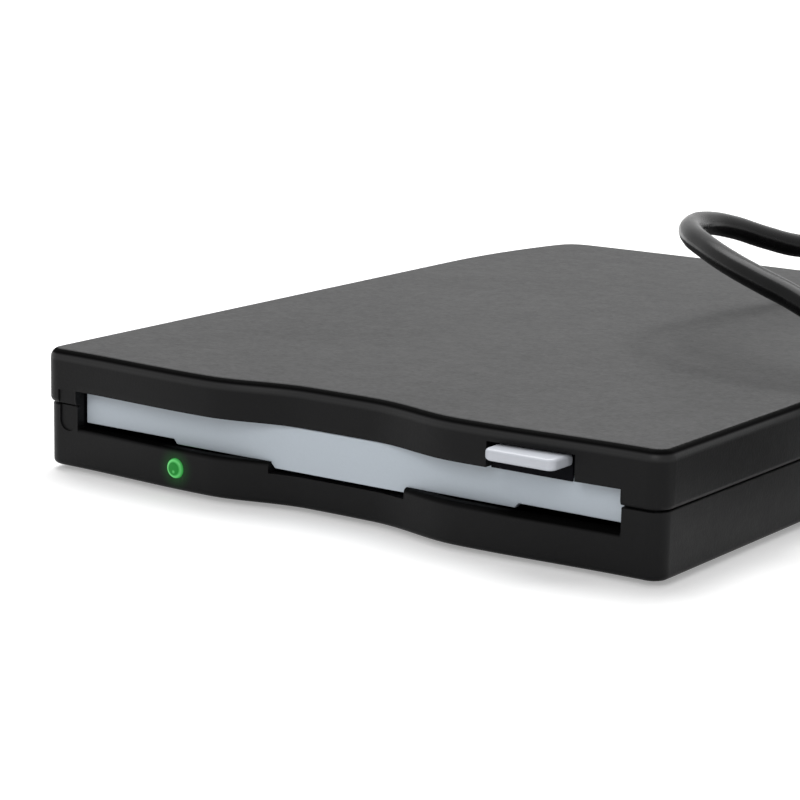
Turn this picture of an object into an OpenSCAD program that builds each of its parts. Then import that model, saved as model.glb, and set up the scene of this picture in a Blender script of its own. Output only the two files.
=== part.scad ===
// External floppy disk drive: a slim drive module in a two-part black casing,
// with a spring flap behind the slot, an eject button, a lamp and a cord with a plug.
// The casing frame has x = 0 in the middle, y = 0 at the front corners and z = 0
// under the casing. seat() moves it so that the feet stand on z = 0.

/* [Casing] */
// Width of the upper shell
case_w = 105.2; // [104.4:0.2:109]
// Depth from the front corners to the middle of the rear edge
case_d = 141; // [140.6:0.2:148]
// Height of the casing without its feet
case_h = 17.5; // [17.4:0.1:19]
// Height of the line where the two shells meet
seam_z = 9.6; // [9.3:0.1:9.9]
// Thickness of the upright walls
wall = 1.9; // [1.7:0.05:2]
// Thickness of the floor
floor_t = 1.5; // [1.3:0.05:1.5]
// Thickness of the roof
roof_t = 1.5; // [1:0.1:1.6]
// How far the lower shell stands in from the upper one
rim_step = 0.4; // [0.2:0.05:0.6]
// Radius of the edge round the roof
roof_r = 1.5; // [0.8:0.1:1.8]
// Radius of the edge round the floor
base_r = 0.8; // [0.4:0.1:1.2]
// Radius of the front corners, seen from above
corner_r = 2.8; // [2.4:0.1:4]
// Radius of the rear corners, seen from above
rear_r = 6; // [5:0.5:8]
// How far each side draws in towards the rear
tail_in = 4; // [2:0.5:4]
// Length of the stretch where the sides draw in
tail_len = 30; // [24:1:36]
// Bow of the rear edge
rear_bow = 1; // [0.5:0.1:1.4]

/* [Wavy front] */
// How far the front swells out on each side of the finger recess
bulge = 1.1; // [0.6:0.1:1.3]
// How far the front sinks in at the finger recess
recess = 1.9; // [1.4:0.1:1.9]
// Distance of the fullest swell from the middle
bulge_x = 22.5; // [22:0.5:25]
// Half width of the flat bottom of the finger recess
recess_x = 5; // [3:0.5:6]

/* [Disk slot] */
// Width of the slot
slot_w = 92.4; // [91.8:0.1:93.2]
// Height of the slot's lower lip
slot_low = 6.1; // [6:0.05:6.3]
// Height of the slot's upper lip
slot_high = 11.7; // [11.65:0.05:11.8]
// Width of the finger notch in the lower lip
finger_w = 23.2; // [20:0.2:25]
// Depth of the finger notch below the lower lip
finger_drop = 1.6; // [1.3:0.05:1.6]
// Side of the shallow pad beside the left end of the slot
pad_side = 3.8; // [3:0.1:4]

/* [Disk and its holder] */
// Width of the disk's case
disk_w = 90; // [89.6:0.1:90.2]
// Room beside the disk on each side
disk_gap = 0.4; // [0.3:0.05:0.5]
// Height of the disk's underside while it can be drawn out
disk_z = 6.6; // [6.5:0.05:6.7]
// Room in height inside the holder
bay_h = 4.3; // [4.2:0.05:4.4]
// How far the holder sinks when a disk is loaded
load_drop = 1.5; // [1.2:0.1:1.5]
// How far the button and its plate come out when a disk is loaded
eject_travel = 3; // [2.5:0.1:3.2]
// Front edge of the holder
holder_y = 11.5; // [11.3:0.1:12]
// Rear edge of the holder and of the disk room
holder_end = 98; // [97.5:0.1:98]
// Thickness of the pressed steel sheet
sheet = 0.6; // [0.5:0.05:0.65]
// Radius of the holder's four guide pins
guide_pin_r = 0.8; // [0.7:0.05:0.85]
// Front pair of guide pins, from the front corners
guide_y1 = 22; // [20:1:26]
// Rear pair of guide pins, from the front corners
guide_y2 = 84; // [80:1:86]

/* [Flap] */
// Height of the flap's pivot
flap_z = 12.2; // [12.15:0.05:12.3]
// Distance of the flap's pivot behind the front corners
flap_y = 3.6; // [3.55:0.05:3.7]
// Front face of the flap, behind the front corners
flap_face = 2.2; // [2.15:0.05:2.3]
// Thickness of the flap
flap_t = 1; // [0.8:0.05:1]
// Radius of the flap's pins
flap_pin_r = 0.6; // [0.5:0.05:0.7]
// Lowest edge of the flap, in the finger notch
flap_low = 5.15; // [5.1:0.05:5.4]
// How much higher the flap's edge is beside the notch
flap_step1 = 0.8; // [0.6:0.05:1.2]
// How much higher again the flap's edge is at its ends
flap_step2 = 0.7; // [0.5:0.05:0.9]
// Half width of the flap's middle steps
flap_mid_x = 28.9; // [26:0.1:32]

/* [Eject button] */
// Middle of the button, right of the middle line
button_x = 32.85; // [31:0.05:34]
// Width of the button
button_w = 10.9; // [10:0.1:11.5]
// Height of the button
button_h = 1.6; // [1.4:0.05:1.6]
// Underside of the button
button_z = 13.35; // [13.3:0.05:13.4]
// How far the button stands out of the front
button_out = 3.15; // [2.5:0.05:3.6]
// Room round the button in its notch
notch_gap = 1.15; // [0.8:0.05:1.3]

/* [Lamp] */
// Lamp's distance left of the middle line
lamp_x = 26.8; // [26:0.2:29]
// Height of the lamp
lamp_z = 3.25; // [3.2:0.05:3.4]
// Radius of the lamp
lamp_r = 1.45; // [1.2:0.05:1.5]

/* [Drive module] */
// Thickness of the chassis sheet
chassis_t = 0.8; // [0.7:0.05:0.9]
// Gap between the floor and the chassis
chassis_lift = 0.5; // [0.5:0.05:0.6]
// Rear edge of the chassis
chassis_end = 126; // [125.5:0.1:127]
// Top of the chassis walls, where the shield lies
shield_z = 13.4; // [13.35:0.05:13.5]
// Thickness of the shield
shield_t = 0.4; // [0.3:0.05:0.5]
// Distance of the spindle behind the front corners
spindle_y = 51; // [50:0.5:52]
// Radius of the rotor
rotor_r = 20.5; // [18:0.5:20.5]
// Radius of the spindle shaft
shaft_r = 1.5; // [1.2:0.1:1.8]
// Distance of the heads behind the spindle at the outermost track
head_reach = 39.5; // [39:0.1:39.6]
// Travel of the heads from the outermost to the innermost track
head_travel = 14.8; // [14.2:0.1:14.8]
// Radius of the carriage's guide rod
rod_r = 1; // [0.8:0.05:1.05]
// Radius of the lead screw
screw_r = 1.3; // [1.1:0.05:1.4]
// Lead screw's distance right of the middle line
screw_x = 17; // [16.8:0.1:17.4]
// Height of the lead screw's axis
screw_z = 8.1; // [8:0.05:8.15]
// Radius of the stepper motor
motor_r = 5.1; // [4.6:0.1:5.1]

/* [Feet and screws] */
// How far the feet stand below the casing
foot_h = 0.8; // [0.6:0.1:1.2]
// Radius of the feet
foot_r = 4; // [3.5:0.1:5]
// Radius of the screw shanks
bolt_r = 1; // [0.9:0.05:1.1]
// Radius of the screw heads
bolt_head_r = 2; // [1.8:0.1:2.2]

/* [Cord and plug] */
// Diameter of the cord
cord_d = 3.8; // [3.5:0.1:3.8]
// Length of the strain relief outside the casing
relief_len = 22; // [20:0.5:24]
// Radius of the strain relief at the casing
relief_r = 2.8; // [2.6:0.1:3]
// Length of the plug's moulded grip
grip_len = 30; // [26:1:36]
// Width of the plug's moulded grip
grip_w = 15.6; // [14:0.2:16.5]
// Height of the plug's moulded grip
grip_h = 7.8; // [7:0.2:8.4]
// Length of the plug's metal shell
shell_len = 18.75; // [17:0.25:19]
// Width of the plug's metal shell
shell_w = 12; // [11.8:0.1:12.2]
// Height of the plug's metal shell
shell_h = 4.5; // [4.4:0.05:4.6]

/* [Hidden] */

// clearances that fits share
run_gap = 0.05;      // a shaft in its bore
slide_gap = 0.15;    // a pin in its slot
seat_gap = 0.2;      // one curved or loose piece beside another
loose = 0.3;         // parts that move past each other

// plan of the casing: points with outward normals, from the front round the right
// side to the rear, then back along the left side
hw = case_w / 2;
front_end = hw - corner_r;
ramp_x = bulge_x - 1;
front_steps = 24;
arc_steps = 6;
tail_angle = atan(2 * tail_in / tail_len);
rear_angle = atan(2 * rear_bow / (hw - tail_in - rear_r));
rear_x = hw - tail_in - rear_r * cos(tail_angle) + rear_r * sin(rear_angle);
tail_y = case_d - rear_bow - rear_r * cos(rear_angle) + rear_r * sin(tail_angle) - tail_len;

function blend(t) = let (c = min(max(t, 0), 1)) 0.5 - 0.5 * cos(180 * c);
function wave(x) = let (u = abs(x))
    -bulge * (1 - blend((u - bulge_x) / (front_end - bulge_x)))
    + (bulge + recess) * (1 - blend((u - recess_x) / (ramp_x - recess_x)))
    + 0.05 * max(0, 1 - pow(u / recess_x, 2));
function wave_slope(x) = (wave(x + 0.05) - wave(x - 0.05)) / 0.1;
function rear_y(x) = case_d - rear_bow * pow(x / rear_x, 2);

front_edge = [for (i = [0:front_steps]) let (x = front_end * i / front_steps,
    s = wave_slope(x), n = sqrt(1 + s * s)) [x, wave(x), s / n, -1 / n]];
corner_edge = [for (k = [1:arc_steps]) let (a = -90 + 90 * k / arc_steps)
    [front_end + corner_r * cos(a), corner_r + corner_r * sin(a), cos(a), sin(a)]];
tail_edge = [for (k = [0:arc_steps]) let (t = k / arc_steps, a = atan(2 * tail_in * t / tail_len))
    [hw - tail_in * t * t, tail_y + tail_len * t, cos(a), sin(a)]];
tail_tip = tail_edge[arc_steps];
rear_c = [tail_tip[0] - rear_r * cos(tail_angle), tail_tip[1] - rear_r * sin(tail_angle)];
rear_arc = [for (k = [1:arc_steps])
    let (a = tail_angle + (90 - rear_angle - tail_angle) * k / arc_steps)
    [rear_c[0] + rear_r * cos(a), rear_c[1] + rear_r * sin(a), cos(a), sin(a)]];
rear_edge = [for (k = [1:arc_steps]) let (x = rear_x * (1 - k / arc_steps),
    s = 2 * rear_bow * x / (rear_x * rear_x), n = sqrt(1 + s * s)) [x, rear_y(x), s / n, 1 / n]];
right_half = concat(front_edge, corner_edge, tail_edge, rear_arc, rear_edge);
half_n = len(right_half);
plan = concat(right_half, [for (i = [half_n - 2:-1:1]) let (p = right_half[i])
    [-p[0], p[1], -p[2], p[3]]]);

function ring(inset, z) = [for (p = plan) [p[0] - inset * p[2], p[1] - inset * p[3], z]];

// height of each feature of the module, from the floor up
chassis_z = floor_t + chassis_lift;
bed_z = chassis_z + chassis_t;
holder_in = disk_w / 2 + disk_gap;
holder_out = holder_in + sheet;
plate_in = holder_out + 0.9;
plate_out = plate_in + sheet;
chassis_in = plate_out + 0.5;
chassis_out = chassis_in + chassis_t;
waist_x = chassis_out - 2.3;
waist_y = 112;
chassis_y = 10;
bay_top = disk_z + bay_h;
pin_z = disk_z + bay_h / 2 + 0.25;
web_z = shield_z - 0.5 - sheet;
ear_x = plate_in - 2.6;
spring_x = plate_in - 1.2;
tab_y = 8.4;
lever_x = -36;
lever_y = holder_end - 3.5;
lever_reach = 24.8;
lever_rest = -43;
lever_turn = 38;
rod_x0 = -9;
rod_y0 = 88;
rod_z = bed_z + 1.1;
hinge_z = bay_top + 0.9;
head_y = spindle_y + head_reach;
carriage_y = holder_end + 0.4 + head_travel;
carriage_len = 10.8;
front_y = wave(button_x) - button_out;
mid_y = (front_y + case_d) / 2;
motor_y = carriage_y + 2.4;
relief_x = 32;
relief_in = rear_y(relief_x) - wall - 1.4;
relief_end = rear_y(relief_x) + relief_len;
relief_tip = cord_d / 2 + 0.5;
boss_x = 41;
boss_y = case_d - 7.5;
boss_bore = 5;
pad_depth = 0.25;
seam_gap = 0.35;
seam_deep = 0.7;
module_bolt_x = chassis_out - 5;
module_bolt_y1 = 32;
module_bolt_y2 = 108;
foot_spots = [[-42, 14], [42, 14], [-40, 124], [40, 124]];
board_y = chassis_end + 2;
board_top = floor_t + 2.5;

module seat() { translate([0, -mid_y, foot_h]) children(); }

// closed skin through rings of equal length, lowest first
module loft(rings) {
    n = len(rings[0]);
    m = len(rings);
    polyhedron(
        points = [for (r = rings) for (p = r) p],
        faces = concat(
            [[for (i = [0:n - 1]) i]],
            [[for (i = [n - 1:-1:0]) (m - 1) * n + i]],
            [for (k = [0:m - 2]) for (i = [0:n - 1]) let (a = k * n + i, b = k * n + (i + 1) % n)
                each [[a, a + n, b + n], [a, b + n, b]]]));
}

// bar between two corners
module bar(low, high) { translate(low) cube(high - low); }

// the same thing on the left and on the right
module both_sides() {
    children();
    mirror([1, 0, 0]) children();
}

// cylinder along y from y1 to y2
module rod_y(r, y1, y2, fn = 32) { translate([0, y1, 0]) rotate([-90, 0, 0]) cylinder(r = r, h = y2 - y1, $fn = fn); }

// cylinder along x from x1 to x2
module rod_x(r, x1, x2, fn = 32) { translate([x1, 0, 0]) rotate([0, 90, 0]) cylinder(r = r, h = x2 - x1, $fn = fn); }

// slot for a pin, cut along x through both side walls: from [y, z] to [y, z] moved by step
module pin_track(y, z, step, r) {
    len = sqrt(step[0] * step[0] + step[1] * step[1]);
    translate([0, y, z]) rod_x(r, -hw, hw);
    translate([0, y + step[0], z + step[1]]) rod_x(r, -hw, hw);
    translate([0, y, z]) rotate([atan2(step[1], step[0]), 0, 0])
        bar([-hw, 0, -r], [hw, len, r]);
}

// outlines of the shells' outer skins
module upper_skin() {
    loft(concat(
        [ring(0.3, seam_z), ring(0.08, seam_z + 0.25), ring(0, seam_z + 0.6)],
        [for (k = [0:4]) let (a = 90 * k / 4)
            ring(roof_r * (1 - cos(a)), case_h - roof_r + roof_r * sin(a))]));
}

module lower_skin() {
    loft(concat(
        [for (k = [0:3]) let (a = 90 * k / 3)
            ring(rim_step + base_r * (1 - sin(a)), base_r * (1 - cos(a)))],
        [ring(rim_step, seam_z - seam_gap - 0.1), ring(rim_step + 0.1, seam_z - seam_gap),
            ring(rim_step + seam_deep, seam_z - seam_gap + 0.05), ring(rim_step + seam_deep, seam_z)]));
}

// shallow pads beside the left end of the slot, one below the seam and one above it
module slot_pads() {
    x2 = -slot_w / 2 - seat_gap;
    x1 = x2 - pad_side + 0.6;
    bar([x1, -1, seam_z - seam_gap - pad_side], [x2, rim_step + pad_depth, seam_z + 0.1]);
    bar([x1, -1, seam_z - 0.1], [x2, pad_depth, slot_high - 0.1]);
}

module slot_cut() {
    bar([-slot_w / 2, -bulge - 1, slot_low], [slot_w / 2, recess + wall + 0.4, slot_high]);
    bar([-finger_w / 2, -bulge - 1, slot_low - finger_drop],
        [finger_w / 2, recess + wall + 0.4, slot_low + 1]);
}

module top_cover() color([0.15, 0.15, 0.155]) seat() {
    difference() {
        upper_skin();
        loft([ring(wall, seam_z - 1), ring(wall, case_h - roof_t)]);
        slot_cut();
        slot_pads();
        // notch for the button
        bar([button_x - button_w / 2 - notch_gap, -bulge - 1, slot_high - 1],
            [button_x + button_w / 2 + notch_gap, flap_face, button_z + button_h + 0.3]);
        translate([relief_x, 0, seam_z]) rod_y(relief_r + run_gap, case_d - 12, case_d + 2);
    }
    // ribs that hold the module down
    both_sides() bar([20, 20, shield_z + shield_t + 0.1], [21.2, 118, case_h - roof_t + 0.01]);
    bar([-chassis_in, 64, shield_z + shield_t + 0.1], [chassis_in, 65.2, case_h - roof_t + 0.01]);
    // posts for the casing screws
    both_sides() difference() {
        translate([boss_x, boss_y, seam_z]) cylinder(r = 3, h = case_h - roof_t - seam_z + 0.01, $fn = 32);
        translate([boss_x, boss_y, seam_z - 1]) cylinder(r = bolt_r + run_gap, h = 1 + boss_bore, $fn = 24);
    }
}

module bottom_cover() color([0.13, 0.13, 0.135]) seat() {
    difference() {
        union() {
            difference() {
                lower_skin();
                loft([ring(wall, floor_t), ring(wall, seam_z + 1)]);
            }
            // posts for the casing screws
            both_sides() translate([boss_x, boss_y, floor_t - 0.01])
                cylinder(r = 3, h = seam_z - floor_t + 0.01, $fn = 32);
            // pads that carry the chassis
            for (y = [module_bolt_y1, module_bolt_y2]) both_sides()
                translate([module_bolt_x, y, floor_t - 0.01]) cylinder(r = 3.4, h = chassis_lift + 0.01, $fn = 32);
            // posts that carry the rear board
            for (x = [-32, 23]) bar([x - 1.5, board_y + 2, floor_t - 0.01], [x + 1.5, board_y + 5, board_top - 1]);
        }
        slot_cut();
        // room behind the lip for the flap, where the front slopes
        bar([-slot_w / 2, flap_face - 0.15, slot_low - 0.65], [slot_w / 2, recess + wall + 0.4, seam_z + 1]);
        slot_pads();
        translate([-lamp_x, 0, lamp_z]) rod_y(lamp_r + run_gap, -3, 4);
        translate([relief_x, 0, seam_z]) rod_y(relief_r + run_gap, case_d - 12, case_d + 2);
        both_sides() {
            // deep wells of the casing screws
            translate([boss_x, boss_y, -1]) cylinder(r = bolt_head_r + 0.3, h = 1 + seam_z - 3, $fn = 32);
            translate([boss_x, boss_y, -1]) cylinder(r = bolt_r + 0.1, h = seam_z + 2, $fn = 24);
            // counterbores of the module screws
            for (y = [module_bolt_y1, module_bolt_y2]) translate([module_bolt_x, y, -1]) {
                cylinder(r = bolt_head_r + 0.3, h = 1.8, $fn = 32);
                cylinder(r = bolt_r + 0.1, h = 5, $fn = 24);
            }
        }
        for (p = foot_spots) translate([p[0], p[1], -1]) cylinder(r = foot_r + 0.1, h = 1.5, $fn = 40);
    }
}

// bracket, crossbar, sill and button guide of the module's front
module front_bezel() color([0.09, 0.09, 0.1]) seat() difference() {
    side_x = slot_w / 2 + 0.25;
    side_out = hw - wall - 0.5;
    bar_y = recess + wall + 0.25;
    guide_half = button_w / 2 + 2;
    guide_y = wave(button_x + 5.2) + wall + 0.1;
    lid = case_h - roof_t - 0.3;
    union() {
        // brackets with the flap's bearings
        both_sides() bar([side_x, flap_face - 0.1, floor_t], [side_out - 1.6, 10, lid]);
        both_sides() bar([side_out - 1.7, corner_r + 0.6, floor_t], [side_out, 10, lid]);
        // sill below the flap
        bar([-side_x - 0.1, bar_y + 0.2, floor_t], [side_x + 0.1, 10, flap_low - 0.65]);
        // crossbar above the flap
        bar([-side_x - 0.1, bar_y, shield_z], [side_x + 0.1, bar_y + 1.1, lid]);
        // guide of the button, with a thin curtain down to the slot
        bar([button_x - guide_half, guide_y, flap_z], [button_x + 5.2, bar_y + 0.5, lid]);
        bar([button_x + 5.1, guide_y + 0.25, flap_z], [button_x + guide_half, bar_y + 0.5, lid]);
        bar([button_x - guide_half, guide_y, flap_z - 1.1], [button_x + 5.2, flap_face - 0.3, flap_z + 0.1]);
    }
    // way of the button's shank and of the plate's tab behind it
    bar([button_x - button_w / 2 + 0.3, -2, button_z - 0.05], [button_x + button_w / 2 - 0.3, 11, button_z + button_h + 0.05]);
    bar([button_x - 5, bar_y + 0.5, flap_z - 2], [button_x + 5, 11, case_h]);
    // bearings of the flap
    translate([0, flap_y, flap_z]) rod_x(flap_pin_r + run_gap, -side_x - 1.6, side_x + 1.6);
}

module dust_flap() color([0.64, 0.67, 0.7]) seat() {
    half = slot_w / 2 - seat_gap;
    top = flap_z - 0.6;
    mid = flap_low + flap_step1;
    high = mid + flap_step2;
    edge = [
        [-half, high], [-flap_mid_x - 0.5, high], [-flap_mid_x, mid],
        [-finger_w / 2 - 0.3, mid], [-finger_w / 2 + 0.5, flap_low],
        [finger_w / 2 - 0.5, flap_low], [finger_w / 2 + 0.3, mid],
        [flap_mid_x, mid], [flap_mid_x + 0.5, high], [half, high],
        [half, top], [-half, top]];
    translate([0, flap_face + flap_t, 0]) rotate([90, 0, 0]) linear_extrude(flap_t) polygon(edge);
    // ears with the pivot pins
    both_sides() {
        bar([half - 3, flap_face, top - 0.7], [half, flap_y, flap_z]);
        translate([0, flap_y, flap_z]) rod_x(1, half - 3, half);
    }
    translate([0, flap_y, flap_z]) {
        rod_x(flap_pin_r, -slot_w / 2 - 1.7, -half + 0.5);
        rod_x(flap_pin_r, half - 0.5, slot_w / 2 + 1.7);
    }
}

// leaf that presses the flap shut, held in the bezel's right bracket
module flap_spring() color([0.75, 0.76, 0.78]) seat() {
    x1 = slot_w / 2 - 6.5;
    bar([x1, 9.6, shield_z - 0.6], [slot_w / 2 + 0.25, 10, shield_z - 0.3]);
    bar([x1, flap_y + 1.6, shield_z - 0.6], [x1 + 1.2, 9.7, shield_z - 0.3]);
}

module eject_button() color([0.82, 0.83, 0.86]) seat() {
    guard = 0.45;
    x1 = button_x - button_w / 2;
    x2 = button_x + button_w / 2;
    back = wave(button_x) + wall - 0.2;
    // cap with rounded edges
    hull() {
        for (x = [x1 + guard, x2 - guard]) for (z = [button_z + guard, button_z + button_h - guard]) {
            translate([x, front_y + guard, z]) sphere(r = guard, $fn = 16);
            translate([x, back - 0.3, z]) rotate([-90, 0, 0]) cylinder(r = guard, h = 0.3, $fn = 16);
        }
    }
    // shank through the guide, up to the plate's tab
    bar([x1 + 0.5, back - 0.1, button_z + 0.15], [x2 - 0.5, tab_y, button_z + button_h - 0.15]);
}

module slide_plate() color([0.7, 0.71, 0.72]) seat() {
    plate_y = chassis_y + eject_travel + 0.3;
    plate_end = holder_end - 2;
    difference() {
        union() {
            both_sides() bar([plate_in, plate_y, disk_z - load_drop + 0.1], [plate_out, plate_end, web_z + sheet]);
            bar([-plate_in - 0.1, plate_y, web_z], [plate_in + 0.1, plate_end, web_z + sheet]);
        }
        // cam tracks: a pin sinks by load_drop while the plate comes out by eject_travel
        for (y = [guide_y1, guide_y2]) pin_track(y, pin_z, [eject_travel, -load_drop], guide_pin_r + slide_gap);
        // windows over the holder
        bar([-40, 20, web_z - 1], [40, 60, web_z + 2]);
        bar([-41, 68, web_z - 1], [41, plate_end + 1, web_z + 2]);
        bar([-plate_in + 6, 0, web_z - 1], [-14, 17, web_z + 2]);
    }
    // tongue and tab that carry the button
    bar([button_x - 4, tab_y, web_z], [button_x + 4, plate_y + 0.1, web_z + sheet]);
    bar([button_x - 4, tab_y, web_z], [button_x + 4, tab_y + sheet, button_z + button_h]);
    // ears that the springs push on
    both_sides() bar([ear_x, plate_end - sheet, web_z - 3.2], [plate_in + 0.1, plate_end, web_z + sheet]);
}

// springs behind the slide plate's ears
module eject_springs() color([0.78, 0.79, 0.8]) seat() both_sides()
    translate([spring_x, 0, web_z - 1.7]) difference() {
        rod_y(1.2, holder_end - 1.95, holder_end + 10);
        rod_y(0.8, holder_end - 3, holder_end + 11);
    }

module disk_holder() color([0.72, 0.73, 0.74]) seat() {
    side_end = holder_end - 2.9 - sheet - eject_travel;
    difference() {
        union() {
            bar([-holder_out, holder_y, bay_top], [holder_out, side_end, bay_top + sheet]);
            bar([-ear_x + 0.3, side_end - 0.1, bay_top], [ear_x - 0.3, holder_end, bay_top + sheet]);
            both_sides() {
                bar([holder_in, holder_y, disk_z - sheet], [holder_out, side_end, bay_top + 0.1]);
                bar([holder_in - 6, holder_y, disk_z - sheet], [holder_in + 0.1, side_end, disk_z]);
            }
        }
        // room for the upper head's arm
        bar([-13, spindle_y + 17, bay_top - 1], [13, holder_end + 1, bay_top + 2]);
        // track of the shutter finger
        translate([lever_x, lever_y, bay_top - 1]) rotate([0, 0, lever_rest - 3])
            rotate_extrude(angle = lever_turn + 8, $fn = 64) translate([lever_reach - 1.15, 0]) square([2.3, 3]);
    }
    // guide pins in the side walls
    for (y = [guide_y1, guide_y2]) both_sides()
        translate([0, y, pin_z]) rod_x(guide_pin_r, holder_out - 0.1, chassis_out - 0.1);
    // pivot pin of the shutter lever
    translate([lever_x, lever_y, bay_top + sheet - 0.1]) cylinder(r = 1, h = 0.9, $fn = 32);
}

// lever whose finger opens the disk's shutter as it goes in
module shutter_lever() color([0.76, 0.77, 0.78]) seat()
    translate([lever_x, lever_y, bay_top + sheet + 0.05]) rotate([0, 0, lever_rest]) difference() {
        union() {
            cylinder(r = 2.4, h = 0.5, $fn = 32);
            bar([0, -1.5, 0], [lever_reach, 1.5, 0.5]);
            translate([lever_reach, 0, 0]) cylinder(r = 1.5, h = 0.5, $fn = 24);
            translate([lever_reach, 0, -sheet - bay_h + 0.8]) cylinder(r = 0.75, h = bay_h + sheet - 0.7, $fn = 24);
        }
        translate([0, 0, -1]) cylinder(r = 1 + run_gap, h = 3, $fn = 32);
    }

module chassis() color([0.66, 0.67, 0.68]) seat() {
    difference() {
        union() {
            bar([-chassis_out, chassis_y, chassis_z], [chassis_out, waist_y, bed_z]);
            bar([-waist_x, waist_y - 0.1, chassis_z], [waist_x, chassis_end, bed_z]);
            both_sides() bar([chassis_in, chassis_y, chassis_z], [chassis_out, waist_y, shield_z]);
            both_sides() bar([waist_x - chassis_t, chassis_end - 3, chassis_z], [waist_x, chassis_end, shield_z]);
            // stops behind the springs
            both_sides() bar([spring_x - 1.6, holder_end + 10.1, bed_z - 0.1], [chassis_in + 0.1, holder_end + 10.7, shield_z]);
            // bracket at the front end of the lead screw
            bar([screw_x - 2.5, holder_end + 0.1, bed_z - 0.1], [screw_x + 2.5, holder_end + 0.7, screw_z + 2]);
            // rests of the guide rod
            bar([rod_x0 - 2, rod_y0 - 2, bed_z - 0.1], [rod_x0 + 2, rod_y0, rod_z + 0.6]);
            bar([rod_x0 - 2, chassis_end - 1.4, bed_z - 0.1], [rod_x0 + 2, chassis_end, rod_z + 2]);
            // bosses of the module screws
            for (y = [module_bolt_y1, module_bolt_y2]) both_sides()
                translate([module_bolt_x, y, bed_z - 0.1]) cylinder(r = 2.2, h = 1.2, $fn = 32);
        }
        for (y = [guide_y1, guide_y2]) pin_track(y, pin_z, [0, -load_drop], guide_pin_r + slide_gap);
        for (y = [module_bolt_y1, module_bolt_y2]) both_sides()
            translate([module_bolt_x, y, 0]) cylinder(r = bolt_r + run_gap, h = 5, $fn = 24);
        translate([0, spindle_y, 0]) cylinder(r = 4 + run_gap, h = 5, $fn = 48);
        // lightening windows
        both_sides() bar([14, spindle_y + 33, chassis_z - 1], [34, holder_end - 3, bed_z + 0.5]);
        translate([screw_x, 0, screw_z]) rod_y(0.8 + run_gap, holder_end - 1, holder_end + 2);
    }
}

module module_shield() color([0.74, 0.75, 0.76]) seat() difference() {
    union() {
        bar([-chassis_out, holder_y + 0.5, shield_z], [chassis_out, waist_y, shield_z + shield_t]);
        bar([-waist_x, waist_y - 0.1, shield_z], [waist_x, chassis_end, shield_z + shield_t]);
    }
    for (x = [-30, 30]) translate([x, spindle_y, shield_z - 1]) cylinder(r = 5, h = 3, $fn = 32);
    bar([-10, spindle_y + 20, shield_z - 1], [10, holder_end - 4, shield_z + 2]);
}

module motor_board() color([0.1, 0.32, 0.2]) seat() difference() {
    bar([-27, spindle_y - 27, bed_z], [27, spindle_y + 25, bed_z + 0.5]);
    translate([0, spindle_y, 0]) cylinder(r = 4.6, h = 9, $fn = 40);
}

module spindle_bush() color([0.78, 0.62, 0.35]) seat() translate([0, spindle_y, 0]) difference() {
    union() {
        translate([0, 0, floor_t + 0.05]) cylinder(r = 4, h = bed_z + 0.6 - floor_t - 0.05, $fn = 48);
        translate([0, 0, bed_z]) cylinder(r = 4.4, h = 0.4, $fn = 48);
    }
    translate([0, 0, floor_t + 0.2]) cylinder(r = shaft_r + run_gap, h = 9, $fn = 32);
}

module spindle_rotor() color([0.8, 0.81, 0.82]) seat() translate([0, spindle_y, 0]) {
    rotate_extrude($fn = 96) polygon([
        [0, floor_t + 0.25], [shaft_r, floor_t + 0.25], [shaft_r, bed_z + 0.9],
        [rotor_r - 1.2, bed_z + 0.9], [rotor_r - 1.2, bed_z + 0.7], [rotor_r, bed_z + 0.7],
        [rotor_r, bed_z + 1.6], [9, bed_z + 1.6], [9, bed_z + 2.4],
        [2, bed_z + 2.4], [2, disk_z - 0.6], [1.6, disk_z - 0.3], [0, disk_z - 0.3]]);
    // drive pin
    translate([7.2, 0, bed_z + 2.3]) cylinder(r = 0.8, h = 0.9, $fn = 24);
}

module guide_rod() color([0.85, 0.86, 0.87]) seat()
    translate([rod_x0, 0, rod_z]) rod_y(rod_r, rod_y0, chassis_end - 1.4);

module head_carriage() color([0.3, 0.31, 0.33]) seat() {
    y1 = carriage_y;
    y2 = carriage_y + carriage_len;
    difference() {
        union() {
            bar([-13, y1, bed_z + 0.3], [9, y2, bed_z + 2.8]);
            bar([-8, y1 + 1, bed_z + 2.7], [8, y2, bay_top - 1.4]);
            // arm under the disk
            bar([-5, head_y - 3.5, bed_z + 0.5], [5, y1 + 0.1, disk_z - 1.9]);
            // follower beside the lead screw
            bar([7.9, y1 + 0.6, screw_z - 0.9], [screw_x - screw_r - 0.1, y1 + 2, screw_z + 0.9]);
            // cheeks that carry the upper arm's hinge pin
            for (x = [-8, 6]) bar([x, y2 - 5, bay_top - 1.5], [x + 2, y2 - 1, hinge_z + 1]);
        }
        translate([rod_x0, 0, rod_z]) rod_y(rod_r + run_gap, y1 - 1, y2 + 1);
    }
    // hinge pin of the upper arm
    translate([0, y2 - 3, hinge_z]) rod_x(0.6, -7, 7);
}

module lower_head() color([0.88, 0.88, 0.85]) seat()
    bar([-3.2, head_y - 3, disk_z - 1.9], [3.2, head_y + 3, disk_z - 0.15]);

module upper_head_arm() color([0.72, 0.73, 0.75]) seat() difference() {
    y2 = carriage_y + carriage_len;
    union() {
        bar([-5, head_y - 3.5, bay_top + 0.15], [5, y2 - 3, bay_top + 0.75]);
        translate([0, y2 - 3, hinge_z]) rod_x(1.05, -5.6, 5.6);
        for (x = [-5, 4.4]) bar([x, head_y + 5, bay_top + 0.15], [x + 0.6, y2 - 3, bay_top + 1.6]);
    }
    translate([0, y2 - 3, hinge_z]) rod_x(0.6 + run_gap, -8, 8);
}

module upper_head() color([0.88, 0.88, 0.85]) seat()
    bar([-3.2, head_y - 3, bay_top - 0.75], [3.2, head_y + 3, bay_top + 0.15]);

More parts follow.
